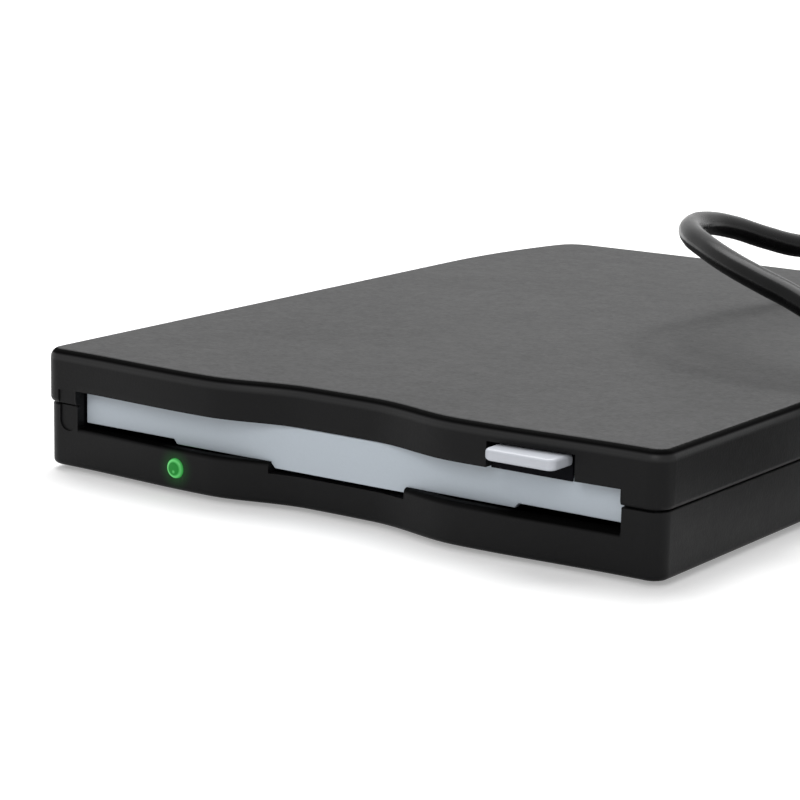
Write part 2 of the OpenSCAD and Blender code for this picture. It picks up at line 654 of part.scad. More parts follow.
module lead_screw() color([0.86, 0.87, 0.88]) seat() translate([screw_x, 0, screw_z]) {
    rod_y(screw_r, holder_end + 0.9, motor_y - 0.1);
    rod_y(0.8, holder_end + 0.1, motor_y + 3);
}

module stepper_motor() color([0.6, 0.61, 0.62]) seat() difference() {
    union() {
        translate([screw_x, 0, screw_z]) rod_y(motor_r, motor_y, chassis_end - 0.5, 48);
        bar([screw_x - 5.6, motor_y, bed_z], [screw_x + 5.6, motor_y + 0.8, screw_z + 3]);
    }
    translate([screw_x, 0, screw_z]) rod_y(0.8 + run_gap, motor_y - 1, motor_y + 4);
}

module controller_board() color([0.1, 0.35, 0.2]) seat() union() {
    bar([-45, holder_end + 13, bed_z + 0.9], [-16, chassis_end - 0.6, bed_z + 1.9]);
    for (x = [-44, -20]) bar([x, holder_end + 15, bed_z], [x + 2, holder_end + 17, bed_z + 1]);
}

module controller_chips() color([0.12, 0.12, 0.13]) seat() {
    bar([-43, holder_end + 15, bed_z + 1.9], [-33, holder_end + 24, bed_z + 3.3]);
    bar([-22, holder_end + 14, bed_z + 1.9], [-17.5, holder_end + 20, bed_z + 3.1]);
    // socket of the flat cable
    bar([-31, chassis_end - 4.6, bed_z + 1.9], [-17, chassis_end - 1.6, bed_z + 3.7]);
}

// flat cable from the controller to the rear board
module ribbon_cable() color([0.85, 0.85, 0.82]) seat() translate([-30, 0, 0])
    rotate([90, 0, 90]) linear_extrude(12) {
        y1 = chassis_end - 1.6;
        y2 = board_y + 3;
        z1 = bed_z + 2.8;
        z2 = board_top + 1.4;
        t = 0.25;
        polygon([[y1, z1], [y1 + 1.6, z1 + 1.4], [y2 - 1.6, z1 + 1.4], [y2, z2],
            [y2, z2 + t], [y2 - 1.5, z1 + 1.4 + t], [y1 + 1.5, z1 + 1.4 + t], [y1, z1 + t]]);
    }

module usb_board() color([0.08, 0.3, 0.18]) seat()
    bar([-35, board_y, board_top - 1], [27, board_y + 9, board_top]);

module usb_chips() color([0.13, 0.13, 0.14]) seat() {
    bar([-8, board_y + 1, board_top], [1, board_y + 8, board_top + 1.4]);
    bar([8, board_y + 2, board_top], [12, board_y + 6, board_top + 3.2]);
    // sockets of the flat cable and of the cord
    bar([-31, board_y + 3, board_top], [-17, board_y + 6, board_top + 2]);
    bar([18, board_y + 3, board_top], [26, board_y + 8, board_top + 3.4]);
}

// wires from the strain relief to their socket
module inner_leads() color([0.5, 0.12, 0.1]) seat() {
    bar([26, board_y + 5, board_top + 1], [relief_x + 1, board_y + 6.4, board_top + 2.4]);
    bar([relief_x - 0.5, board_y + 5, board_top + 1], [relief_x + 1, board_y + 6.4, seam_z + 0.6]);
    bar([relief_x - 0.5, board_y + 5, seam_z - 0.8], [relief_x + 1, relief_in, seam_z + 0.6]);
}

module lamp() color([0.25, 0.85, 0.35]) seat() translate([-lamp_x, 0, lamp_z]) {
    nose = wave(lamp_x) - 0.1;
    rod_y(lamp_r, nose + 0.5, 2.4);
    translate([0, nose + 0.5, 0]) rotate([90, 0, 0]) cylinder(r1 = lamp_r, r2 = lamp_r - 0.5, h = 0.4, $fn = 32);
    rod_y(lamp_r + 0.2, 2.3, 3.1);
    // legs that end at the bezel's sill
    for (x = [-0.7, 0.4]) bar([x, 3, -0.15], [x + 0.3, recess + wall + 0.45, 0.15]);
}

module rubber_feet() color([0.07, 0.07, 0.07]) seat() for (p = foot_spots)
    translate([p[0], p[1], -foot_h]) cylinder(r = foot_r, h = foot_h + 0.5, $fn = 40);

// screw that points up from its head
module bolt(x, y, z, len) translate([x, y, z]) difference() {
    union() {
        cylinder(r = bolt_head_r, h = 0.8, $fn = 32);
        cylinder(r = bolt_r, h = len, $fn = 24);
    }
    bar([-1.2, -0.25, -1], [1.2, 0.25, 0.5]);
    bar([-0.25, -1.2, -1], [0.25, 1.2, 0.5]);
}

module case_screws() color([0.55, 0.55, 0.56]) seat()
    both_sides() bolt(boss_x, boss_y, seam_z - 3.8, 3.8 + boss_bore - 0.3);

module module_screws() color([0.55, 0.55, 0.56]) seat()
    for (y = [module_bolt_y1, module_bolt_y2]) both_sides() bolt(module_bolt_x, y, 0, bed_z + 0.9);

// tapered and ringed sleeve, held in the rear wall at the seam
module strain_relief() color([0.05, 0.05, 0.055]) seat() translate([relief_x, 0, seam_z]) rotate([-90, 0, 0])
    rotate_extrude($fn = 40) {
        y0 = relief_in;
        y1 = rear_y(relief_x);
        rings = 5;
        step = (relief_len - 3) / rings;
        polygon(concat(
            [[0, y0], [relief_r + 1, y0], [relief_r + 1, y0 + 1.1], [relief_r, y0 + 1.1], [relief_r, y1 + 0.3],
             [relief_r + 0.9, y1 + 0.3], [relief_r + 0.9, y1 + 1.6]],
            [for (k = [0:rings - 1]) let (r = relief_r - (relief_r - relief_tip) * (k + 0.5) / rings,
                y = y1 + 1.6 + k * step) each [[r - 0.3, y], [r - 0.3, y + step * 0.35],
                [r + 0.1, y + step * 0.4], [r - 0.05, y + step * 0.95]]],
            [[relief_tip, relief_end - 1.2], [relief_tip - 0.2, relief_end], [0, relief_end]]));
    }

// ---- cord: its points are in the part's own frame, chosen by hand ----
cord_exit = [relief_x, relief_end - mid_y, seam_z + foot_h];
lead_route = [
    [32, 100, 10.4], [32, 107.5, 11.2], [32.1, 113.6, 14.4], [32.2, 117.2, 19.4], [32.1, 117.6, 24.2],
    [31.9, 115.6, 28.6], [31, 110.9, 31.9],
    [29.4, 104.5, 33], [27.1, 96, 32.2], [24.6, 87.5, 30.6], [21.9, 79, 29], [19.4, 70.5, 27.6],
    [16.9, 62, 26.6], [14.6, 53.5, 26.1], [12.4, 45.5, 27], [10.2, 38, 29], [8.4, 30, 31.4],
    [7.8, 22, 32.9], [9.4, 14.5, 33.3], [13.4, 7.5, 33.1], [19.1, 2, 32.4], [25.6, -2.6, 31.3],
    [32.6, -6.2, 30], [40.1, -9.2, 28.4], [47.6, -12.2, 26], [54.5, -16, 22.3], [59.5, -20, 17],
    [63.9, -23.5, 11.2], [68.2, -27.8, 6.2], [74.5, -31.5, 3.5], [81, -32.6, 2.8], [84.5, -32.6, 2.8]];
coil_c = [88, -8];
coil_z = 2.8;
coil_r = 24.6;
coil_pitch = 4.3;
coil_lift = 4.3;
coil_turns = 2;
tail_route = [[84, 16.6, 7.1], [82, 16.6, 7.1], [77.6, 17.9, 6], [73.3, 21, 4.6], [70.5, 25.3, 3.9],
    [69.5, 30, 3.9], [69.5, 34, 3.9]];
plug_at = tail_route[len(tail_route) - 1];

function unit(v) = v / norm(v);
function along(pts, i) = let (n = len(pts))
    unit(pts[min(i + 1, n - 1)] - pts[max(i - 1, 0)]);
// side vectors carried along a path without twist
function sides_of(pts, first) = [
    for (i = 0, s = unit(first - (first * along(pts, 0)) * along(pts, 0)); i < len(pts);
         i = i + 1, t = along(pts, min(i, len(pts) - 1)), s = unit(s - (s * t) * t)) s];

// tube of diameter d through pts; its ends are square to the path
module tube(pts, d, n, first = [0, 0, 1]) {
    side = sides_of(pts, first);
    loft([for (i = [0:len(pts) - 1]) let (t = along(pts, i), u = side[i], v = cross(t, u))
        [for (k = [0:n - 1]) let (a = 360 * k / n) pts[i] + d / 2 * (cos(a) * v + sin(a) * u)]]);
}

// coil: spirals in below, climbs in the half turn where it reverses, spirals out above
function coil_point(t) =
    let (turn = coil_turns, r = t < turn + 0.25 ? coil_r - coil_pitch * t
            : coil_r - coil_pitch * (turn + 0.25) + coil_pitch * (t - turn - 0.25),
         z = coil_z + coil_lift * min(max((t - turn) / 0.5, 0), 1),
         a = -90 + 360 * t)
    [coil_c[0] + r * cos(a), coil_c[1] + r * sin(a), z];
coil_end = coil_turns * 2 + 0.5;
coil_step = 1 / 24;
coil_pts = concat(
    [lead_route[len(lead_route) - 1]],
    [for (t = [0:coil_step:coil_end + 0.001]) coil_point(t)],
    [tail_route[0]]);

// least gap of the coil to itself, between points over half a turn apart
coil_gap = min([for (i = [0:len(coil_pts) - 1]) for (j = [i + 12:1:len(coil_pts) - 1])
    norm(coil_pts[i] - coil_pts[j])]) - cord_d;
echo(coil_gap = coil_gap);

function path_len(pts) = len(pts) < 2 ? 0 : norm(pts[1] - pts[0])
    + path_len([for (i = [1:1:len(pts) - 1]) pts[i]]);
echo(cord_length = path_len(concat([cord_exit], lead_route)) + path_len(coil_pts) + path_len(tail_route));

module cord_lead() color([0.05, 0.05, 0.055]) tube(concat([cord_exit], lead_route), cord_d, 8);

module cord_coil() color([0.05, 0.05, 0.055]) tube(coil_pts, cord_d, 6);

module cord_tail() color([0.05, 0.05, 0.055]) tube(tail_route, cord_d, 8);

// band round the coil, at its side nearest the casing
module coil_tie() color([0.1, 0.1, 0.11]) {
    inner = coil_r - coil_pitch * 1.75 - cord_d / 2 - 0.55;
    outer = coil_r - coil_pitch * 0.75 + cord_d / 2 + 0.3;
    low = coil_z - cord_d / 2 - 0.25;
    high = coil_z + coil_lift + cord_d / 2 + 0.25;
    translate([coil_c[0] - outer, coil_c[1] - 3, 0]) difference() {
        bar([-0.5, 0, low - 0.5], [outer - inner + 0.5, 6, high + 0.5]);
        bar([0, -1, low], [outer - inner, 7, high]);
    }
}

module plug_grip() color([0.05, 0.05, 0.055]) translate(plug_at) difference() {
    r = 1.6;
    hull() {
        for (x = [-1, 1]) for (z = [-1, 1]) {
            translate([x * (grip_w / 2 - r), 7, z * (grip_h / 2 - r)]) rod_y(r, 0, grip_len - 7, 24);
            translate([x * (grip_w / 2 - r - 3), 0, z * (grip_h / 2 - r - 1)]) rod_y(r, 0, 1, 24);
        }
    }
    // grooves for the fingers
    for (k = [0:3]) for (s = [-1, 1])
        bar([s * grip_w / 2 - 0.35, 10 + 3 * k, -2.4], [s * grip_w / 2 + 0.35, 11.2 + 3 * k, 2.4]);
}

module plug_shell() color([0.8, 0.81, 0.82]) translate(plug_at + [0, grip_len, 0]) difference() {
    t = 0.3;
    bar([-shell_w / 2, 0, -shell_h / 2], [shell_w / 2, shell_len, shell_h / 2]);
    bar([-shell_w / 2 + t, 1, -shell_h / 2 + t], [shell_w / 2 - t, shell_len + 1, shell_h / 2 - t]);
    // the four square holes of such a shell
    for (x = [-2.5, 2.5]) bar([x - 1.1, 11, -4], [x + 1.1, 13.4, 4]);
}

// tongue with its four contacts
module plug_tongue() color([0.92, 0.92, 0.92]) translate(plug_at + [0, grip_len + 1, 0]) {
    t = 0.3;
    bar([-shell_w / 2 + t, 0, -shell_h / 2 + t], [shell_w / 2 - t, shell_len - 1.2, -shell_h / 2 + t + 1.95]);
    for (x = [-3.5, -1, 1, 3.5]) bar([x - 0.5, 4, -shell_h / 2 + t + 1.9], [x + 0.5, shell_len - 3, -shell_h / 2 + t + 2.05]);
}

top_cover();
bottom_cover();
front_bezel();
dust_flap();
flap_spring();
eject_button();
slide_plate();
eject_springs();
disk_holder();
shutter_lever();
chassis();
module_shield();
motor_board();
spindle_bush();
spindle_rotor();
guide_rod();
head_carriage();
lower_head();
upper_head_arm();
upper_head();
lead_screw();
stepper_motor();
controller_board();
controller_chips();
ribbon_cable();
usb_board();
usb_chips();
inner_leads();
lamp();
rubber_feet();
case_screws();
module_screws();
strain_relief();
cord_lead();
cord_coil();
cord_tail();
coil_tie();
plug_grip();
plug_shell();
plug_tongue();
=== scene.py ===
import logging
from dataclasses import dataclass, field
from enum import Enum
from functools import cached_property
from math import atan, cos, hypot, pi, radians, sin
from typing import Callable, Sequence, Union

import bmesh
import bpy
from mathutils import Matrix, Vector


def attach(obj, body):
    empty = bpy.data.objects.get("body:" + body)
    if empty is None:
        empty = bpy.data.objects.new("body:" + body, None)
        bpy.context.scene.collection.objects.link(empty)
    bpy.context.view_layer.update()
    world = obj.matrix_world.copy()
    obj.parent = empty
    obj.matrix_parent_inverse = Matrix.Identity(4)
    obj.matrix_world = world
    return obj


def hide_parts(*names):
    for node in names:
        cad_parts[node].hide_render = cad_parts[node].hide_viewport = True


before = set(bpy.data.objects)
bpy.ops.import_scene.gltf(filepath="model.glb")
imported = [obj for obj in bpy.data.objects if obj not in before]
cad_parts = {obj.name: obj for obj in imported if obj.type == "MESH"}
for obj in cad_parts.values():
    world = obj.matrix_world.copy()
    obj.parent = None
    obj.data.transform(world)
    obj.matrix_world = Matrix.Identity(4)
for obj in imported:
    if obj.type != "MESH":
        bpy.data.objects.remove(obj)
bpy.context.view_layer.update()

log = logging.getLogger("floppy_drive")

MM = 0.001  # a millimetre in metres
FOOT = 0.8  # millimetres from the ground to the casing's underside
MID_Y = 68.5481  # millimetres from the casing frame's origin back to the drive frame's
AHEAD = -3.0  # where cutters start, clear of the front

Pair = tuple[float, float]
Point = tuple[float, float, float]
Colour = tuple[float, float, float]
Number = Union[float, "Signal"]
Sockets = dict[int | str, object]
Object = bpy.types.Object


class Axis(Enum):
    """Direction a turned form is drawn along."""

    Y = 1
    Z = 2


class Body(Enum):
    """Moving bodies that carry new pieces."""

    DRIVE = "drive_body"
    FLAP = "flap"
    EJECT = "eject"


def operation(name: str, turned: bool = False) -> Callable[..., "Signal"]:
    """Makes a method of Signal.

    Args:
        name: the Math node's operation.
        turned: puts the signal after the other value.

    Returns:
        The method.
    """

    def method(self: "Signal", *others: Number) -> "Signal":
        """Adds the operation's node."""
        return self.math(name, *((*others, self) if turned else (self, *others)))

    return method


class Signal:
    """A number, colour, vector or surface on its way through the nodes."""

    def __init__(self, paint: "Paint", socket: bpy.types.NodeSocket) -> None:
        """Wraps one output socket."""
        self.paint = paint
        self.socket = socket

    def math(self, name: str, *values: Number) -> "Signal":
        """Adds one Math node and returns its result."""
        return self.paint.signal("ShaderNodeMath", dict(enumerate(values)), operation=name)

    __add__, __radd__ = operation("ADD"), operation("ADD", True)
    __sub__, __rsub__ = operation("SUBTRACT"), operation("SUBTRACT", True)
    __mul__, __rmul__ = operation("MULTIPLY"), operation("MULTIPLY", True)
    __truediv__, __pow__ = operation("DIVIDE"), operation("POWER")
    __gt__, largest = operation("GREATER_THAN"), operation("MAXIMUM")
    wave, size = operation("SINE"), operation("ABSOLUTE")

    def cut(self) -> "Signal":
        """Kept between 0 and 1."""
        return self.math("MINIMUM", self.largest(0.0), 1.0)


class Paint:
    """Builds the nodes of one material, or of the surroundings."""

    def __init__(self, owner: bpy.types.Material | bpy.types.World) -> None:
        """Starts with no nodes.

        Args:
            owner: what the nodes belong to.
        """
        owner.use_nodes = True
        self.owner = owner
        self.tree = owner.node_tree
        self.tree.nodes.clear()

    def node(self, kind: str, sockets: Sockets | None = None, **settings: object) -> bpy.types.Node:
        """Adds a node.

        Args:
            kind: the node's type.
            sockets: input name or number to a value, a colour or a Signal.
            settings: the node's own settings, set first.

        Returns:
            The node.
        """
        made = self.tree.nodes.new(kind)
        for key, value in settings.items():
            setattr(made, key, value)
        for key, value in (sockets or {}).items():
            socket = made.inputs[key]
            if isinstance(value, Signal):
                self.tree.links.new(value.socket, socket)
            else:
                socket.default_value = (*value, 1.0) if socket.type == "RGBA" else value
        return made

    def signal(
        self, kind: str, sockets: Sockets | None = None, output: int | str = 0, **settings: object
    ) -> Signal:
        """Adds a node, as node does, and returns one of its outputs."""
        return Signal(self, self.node(kind, sockets, **settings).outputs[output])

    @cached_property
    def place(self) -> Signal:
        """Position on the piece, in metres of the drive's frame."""
        return self.signal("ShaderNodeTexCoord", output="Object")

    def xyz(self) -> tuple[Signal, ...]:
        """The three parts of the position."""
        made = self.node("ShaderNodeSeparateXYZ", {0: self.place})
        return tuple(Signal(self, output) for output in made.outputs)

    def noise(self, scale: float, detail: float, rough: float, along: Point | None = None) -> Signal:
        """Soft random pattern.

        Args:
            scale: lumps per metre.
            detail: number of finer layers.
            rough: weight of the finer layers.
            along: factors on the position; a small one draws the lumps out.

        Returns:
            The pattern, from 0 to 1.
        """
        where = self.place
        if along is not None:
            where = self.signal("ShaderNodeVectorMath", {0: where, 1: along}, operation="MULTIPLY")
        sockets = {"Vector": where, "Scale": scale, "Detail": detail, "Roughness": rough}
        return self.signal("ShaderNodeTexNoise", sockets, noise_dimensions="3D")

    def cells(self, scale: float) -> Signal:
        """Distance to the nearest of many scattered points, scale to the metre."""
        sockets = {"Vector": self.place, "Scale": scale}
        return self.signal("ShaderNodeTexVoronoi", sockets, "Distance", feature="F1")

    def mix(self, share: Number, first: Colour | Signal, second: Colour | Signal) -> Signal:
        """Colour between two: 0 is the first, 1 the second."""
        sockets = {0: share, 6: first, 7: second}
        return self.signal("ShaderNodeMix", sockets, 2, data_type="RGBA", blend_type="MIX")

    def bump(self, height: Signal, strength: float, depth: float) -> Signal:
        """Normal tilted by a height from 0 to 1, depth metres deep."""
        sockets = {"Strength": strength, "Distance": depth, "Height": height}
        return self.signal("ShaderNodeBump", sockets)

    def surface(self, sockets: Sockets) -> Signal:
        """Principled surface."""
        return self.signal("ShaderNodeBsdfPrincipled", sockets)

    def blend(self, share: Signal, first: Signal, second: Signal) -> Signal:
        """Surface between two: 0 is the first, 1 the second."""
        return self.signal("ShaderNodeMixShader", {0: share, 1: first, 2: second})

    def ray(self, kind: str) -> Signal:
        """1 on the rays of a kind, such as Camera, and 0 on the others."""
        return self.signal("ShaderNodeLightPath", output=f"Is {kind} Ray")

    def close(self, last: Signal) -> bpy.types.Material | bpy.types.World:
        """Ends the nodes with their last signal, and returns their owner."""
        kind = "World" if isinstance(self.owner, bpy.types.World) else "Material"
        self.node(f"ShaderNodeOutput{kind}", {0: last})
        return self.owner


def norm(*parts: Signal) -> Signal:
    """Length of the vector with these parts."""
    return sum((part * part for part in parts[1:]), parts[0] * parts[0]) ** 0.5


def scaled(colour: Colour, factor: float, lift: float = 0.0) -> Colour:
    """Colour times factor plus lift."""
    return tuple(part * factor + lift for part in colour)


def spread(colour: Colour, share: float) -> tuple[Colour, Colour]:
    """The colour made darker and paler by a share of itself."""
    return scaled(colour, 1.0 - share), scaled(colour, 1.0 + share)


@dataclass(frozen=True)
class Finish:
    """A finish: one principled surface, in places with a dull black one over it as painted shade."""

    name: str
    colour: Colour

    def _sockets(self, paint: Paint) -> Sockets:
        """The surface's sockets, which every finish sets in its own way.

        Args:
            paint: builds the nodes behind them.

        Returns:
            Socket names to values or signals.
        """
        raise NotImplementedError

    def _shade(self, paint: Paint) -> Signal | None:
        """Share of the surface that is painted shade in dull black, where there is any."""
        return None

    def make(self) -> bpy.types.Material:
        """Returns the material."""
        paint = Paint(bpy.data.materials.new(self.name))
        shade = self._shade(paint)
        surface = paint.surface(self._sockets(paint))
        if shade is not None:
            # painted shade: a dull black surface mixed over the finish where _shade says
            painted_shade_surface = {"Base Color": (0.002,) * 3, "Roughness": 0.7, "Specular IOR Level": 0.0}
            surface = paint.blend(shade, surface, paint.surface(painted_shade_surface))
        return paint.close(surface)


@dataclass(frozen=True)
class GrainedPlastic(Finish):
    """Moulded plastic with a fine etched grain."""

    roughness: float = 0.5
    grain: float = 0.45
    relief: float = 0.25
    mottle: float = 0.12
    gloss: float = 0.5

    def _tone(self, paint: Paint, fine: Signal, broad: Signal) -> Signal:
        """Colour with its mottle."""
        share = (0.55 * fine + 0.45 * broad).cut()
        return paint.mix(share, *spread(self.colour, self.mottle))

    def _sockets(self, paint: Paint) -> Sockets:
        """The surface's sockets."""
        fine = paint.noise(1000.0 / self.grain, 2.0, 0.6)
        broad = paint.noise(45.0, 3.0, 0.5)
        dust = paint.noise(420.0, 2.0, 0.7)
        rough = self.roughness + 0.10 * (broad - 0.5) + 0.12 * (dust - 0.5)
        return {
            "Base Color": self._tone(paint, fine, broad),
            "Roughness": rough.cut(),
            "Specular IOR Level": self.gloss,
            "Normal": paint.bump(fine, self.relief, 0.00006),
        }


@dataclass(frozen=True)
class FieldedPlastic(GrainedPlastic):
    """Plastic with a spark-eroded roof painted paler as painted light, a painted dark line round it
    as painted shade, and polished edges.
    """

    # painted light: the roof's paler colour stands in for the light it catches
    roof_painted_light: Colour = (0.0295, 0.0295, 0.03)
    level: float = 0.0183
    edge: float = 0.0015
    polish: float = 0.3
    dulled: float = 0.12

    def _tone(self, paint: Paint, fine: Signal, broad: Signal) -> Signal:
        """Sides in the plastic's colour, the roof in a paler colour that is painted light."""
        specks = paint.noise(1100.0, 2.0, 0.8)
        clouds = paint.noise(190.0, 2.0, 0.6)
        share = (1.9 * (specks - 0.5) + 0.6 * (clouds - 0.5) + 0.5).cut()
        roof = paint.mix(share, *spread(self.roof_painted_light, 3.2 * self.mottle))
        return paint.mix(self._field(paint), super()._tone(paint, fine, broad), roof)

    def _field(self, paint: Paint) -> Signal:
        """1 on the flat roof, 0 elsewhere."""
        z = paint.xyz()[2]
        return ((z - self.level + 0.00006) / 0.00004).cut()

    def _drop(self, paint: Paint) -> Signal:
        """0 at the roof, 1 at the foot of its rounded edge."""
        return (self.level - paint.xyz()[2]) / self.edge

    def _sockets(self, paint: Paint) -> Sockets:
        """The surface's sockets."""
        drop = self._drop(paint)
        band = ((drop - 0.42) / 0.15).cut() * ((1.15 - drop) / 0.3).cut()
        sockets = super()._sockets(paint)
        rough = sockets["Roughness"] + self.dulled * self._field(paint)
        coat = {"Coat Weight": band * self.polish, "Coat Roughness": 0.5}
        return {**sockets, "Roughness": rough.cut(), **coat}

    def _shade(self, paint: Paint) -> Signal:
        """Painted shade: a dark line round the roof, standing in for a dark reflection."""
        drop = self._drop(paint)
        # painted shade: dull black over a thin band at the top of the roof's rounded edge
        return 0.9 * ((drop - 0.03) / 0.05).cut() * ((0.50 - drop) / 0.14).cut()


@dataclass(frozen=True)
class LippedPlastic(GrainedPlastic):
    """Plastic with painted shade on the slot lip and a painted green glow of lamp light round the
    lamp.
    """

    # painted light: centre, reach and glow place a green glow of lamp light on the plastic
    centre: Point = (-0.0268, -0.0696, 0.00405)
    reach: float = 0.0036
    glow: Colour = (0.004, 0.045, 0.007)
    # where the painted shade on the slot lip lies
    lip_half: float = 0.0463
    lip_step: float = 0.0289
    lip_low: float = 0.0060
    lip_high: float = 0.0072
    lip_back: float = -0.0640

    def _sockets(self, paint: Paint) -> Sockets:
        """The surface's sockets."""
        away = norm(*(part - middle for part, middle in zip(paint.xyz(), self.centre)))
        near = (1.0 - away / self.reach).cut()
        # painted light: the lamp's green glow laid on the plastic as emission
        lit = paint.mix((2.5 * near * near).cut(), (0.0, 0.0, 0.0), self.glow)
        return {**super()._sockets(paint), "Emission Color": lit, "Emission Strength": 1.0}

    def _shade(self, paint: Paint) -> Signal:
        """Painted shade on the rounded lip of the slot, darkest under the flap's raised ends."""
        x, y, z = paint.xyz()
        beside = ((self.lip_half - x.size()) / 0.0003).cut()
        above = ((z - self.lip_low + 0.005 * (x - 0.04)) / 0.0004).cut()
        within = (self.lip_high - z > 0.0) * (self.lip_back - y > 0.0)
        ends = ((x.size() - self.lip_step + 0.004) / 0.005).cut()
        # painted shade: the lip turns dull black where shade falls
        return beside * above * within * (0.75 + 0.25 * ends)


@dataclass(frozen=True)
class SheetMetal(Finish):
    """Rolled or pressed sheet with a direction in its surface."""

    roughness: float = 0.34
    along: Point = (1.0, 0.06, 1.0)

    def _sockets(self, paint: Paint) -> Sockets:
        """The surface's sockets."""
        lines = paint.noise(2600.0, 3.0, 0.7, self.along)
        cloud = paint.noise(60.0, 4.0, 0.6)
        share = (0.5 * lines + 0.5 * cloud).cut()
        rough = self.roughness + 0.16 * (lines - 0.5) + 0.14 * (cloud - 0.5)
        return {
            "Base Color": paint.mix(share, scaled(self.colour, 0.86), self.colour),
            "Metallic": 1.0,
            "Roughness": rough.cut(),
            "Normal": paint.bump(lines, 0.12, 0.00002),
        }


@dataclass(frozen=True)
class TurnedSteel(Finish):
    """Ground or turned bright metal."""

    roughness: float = 0.2

    def _sockets(self, paint: Paint) -> Sockets:
        """The surface's sockets."""
        film = paint.noise(130.0, 3.0, 0.6)
        fine = paint.noise(3800.0, 2.0, 0.5)
        rough = self.roughness + 0.15 * (film - 0.5) + 0.06 * (fine - 0.5)
        return {
            "Base Color": paint.mix(film, scaled(self.colour, 0.9), self.colour),
            "Metallic": 1.0,
            "Roughness": rough.cut(),
            "Normal": paint.bump(fine, 0.05, 0.00001),
        }


@dataclass(frozen=True)
class SinteredBronze(Finish):
    """Porous bearing metal."""

    def _sockets(self, paint: Paint) -> Sockets:
        """The surface's sockets."""
        pores = paint.cells(5200.0)
        return {
            "Base Color": paint.mix((2.2 * pores).cut(), scaled(self.colour, 0.55), self.colour),
            "Metallic": 1.0,
            "Roughness": (0.52 - 0.2 * pores).cut(),
            "Normal": paint.bump(pores, 0.2, 0.00003),
        }


@dataclass(frozen=True)
class Vinyl(Finish):
    """Soft black covering of a cord and its mouldings."""

    roughness: float = 0.34
    gloss: float = 0.4

    def _sockets(self, paint: Paint) -> Sockets:
        """The surface's sockets."""
        film = paint.noise(240.0, 3.0, 0.6)
        fine = paint.noise(2400.0, 2.0, 0.6)
        pale = scaled(self.colour, 1.7, 0.0024)
        rough = self.roughness + 0.22 * (film - 0.5) + 0.1 * (fine - 0.5)
        return {
            "Base Color": paint.mix((film * film).cut(), self.colour, pale),
            "Roughness": rough.cut(),
            "Specular IOR Level": self.gloss,
            "Normal": paint.bump(fine, 0.12, 0.00004),
        }


@dataclass(frozen=True)
class CircuitBoard(Finish):
    """Solder mask with faint tracks and tinned dots."""

    tin: Colour = (0.62, 0.62, 0.58)

    def _sockets(self, paint: Paint) -> Sockets:
        """The surface's sockets."""
        x, y, _ = paint.xyz()
        bend = paint.noise(90.0, 0.0, 0.5)
        tracks = ((x + 0.35 * bend * 0.01) * 5200.0).wave() * (y * 900.0).wave().size()
        line = tracks > 0.55
        dot = 0.16 - paint.cells(420.0) > 0.0
        base = paint.mix(line, self.colour, scaled(self.colour, 1.8, 0.01))
        return {
            "Base Color": paint.mix(dot, base, self.tin),
            "Metallic": dot,
            "Roughness": (0.32 + 0.1 * dot + 0.1 * bend).cut(),
            "Normal": paint.bump(line, 0.15, 0.00003),
        }


@dataclass(frozen=True)
class ChipCase(Finish):
    """Moulded chip bodies and sockets."""

    pin: Colour = (0.09, 0.09, 0.09)

    def _sockets(self, paint: Paint) -> Sockets:
        """The surface's sockets."""
        fine = paint.noise(3000.0, 2.0, 0.6)
        x, y, _ = paint.xyz()
        pins = ((x + y) * 4900.0).wave() > 0.82
        return {
            "Base Color": paint.mix(pins, self.colour, self.pin),
            "Roughness": (0.5 + 0.2 * (fine - 0.5)).cut(),
            "Normal": paint.bump(fine, 0.2, 0.00003),
        }


@dataclass(frozen=True)
class StripedFilm(Finish):
    """Flat cable: parallel conductors in clear film."""

    pitch: float = 0.0005

    def _sockets(self, paint: Paint) -> Sockets:
        """The surface's sockets."""
        x, _, _ = paint.xyz()
        stripe = 0.5 + 0.5 * (x * (2.0 * pi / self.pitch)).wave()
        return {
            "Base Color": paint.mix(stripe.cut(), scaled(self.colour, 0.55), self.colour),
            "Roughness": (0.3 + 0.15 * stripe).cut(),
            "Normal": paint.bump(stripe, 0.2, 0.00005),
        }


@dataclass(frozen=True)
class GreenLamp(Finish):
    """Lamp body, lit: a thin bright ring, fuller on its left, round a deep green middle."""

    centre: Point
    radius: float
    ring: Colour = (0.15, 0.66, 0.19)
    middle: Colour = (0.008, 0.19, 0.022)

    def _sockets(self, paint: Paint) -> Sockets:
        """The surface's sockets."""
        x, _, z = paint.xyz()
        across = (x - self.centre[0]) / self.radius
        up = (z - self.centre[2]) / self.radius
        thin = (1.2 - ((norm(across, up) - 0.82) / 0.18).size()).cut()
        rim = thin * (0.8 - 0.35 * across)
        speck = (1.0 - norm(across, up + 0.3) / 0.22).cut()
        film = paint.noise(2500.0, 2.0, 0.5)
        share = (rim + 0.7 * speck) * (0.85 + 0.3 * film)
        return {
            "Base Color": self.colour,
            "Emission Color": paint.mix(share.cut(), self.middle, self.ring),
            "Emission Strength": 1.0,
            "Roughness": (0.16 + 0.12 * film).cut(),
            "Specular IOR Level": 0.15,
        }


@dataclass(frozen=True)
class GroundCeramic(Finish):
    """Ceramic slider of a head, with its dark gap line."""

    gap: Colour = (0.2, 0.2, 0.2)

    def _sockets(self, paint: Paint) -> Sockets:
        """The surface's sockets."""
        x, _, _ = paint.xyz()
        fine = paint.noise(1800.0, 3.0, 0.5)
        return {
            "Base Color": paint.mix(x.size() > 0.0009, self.gap, self.colour),
            "Roughness": (0.22 + 0.15 * fine).cut(),
            "Normal": paint.bump(fine, 0.05, 0.00002),
        }


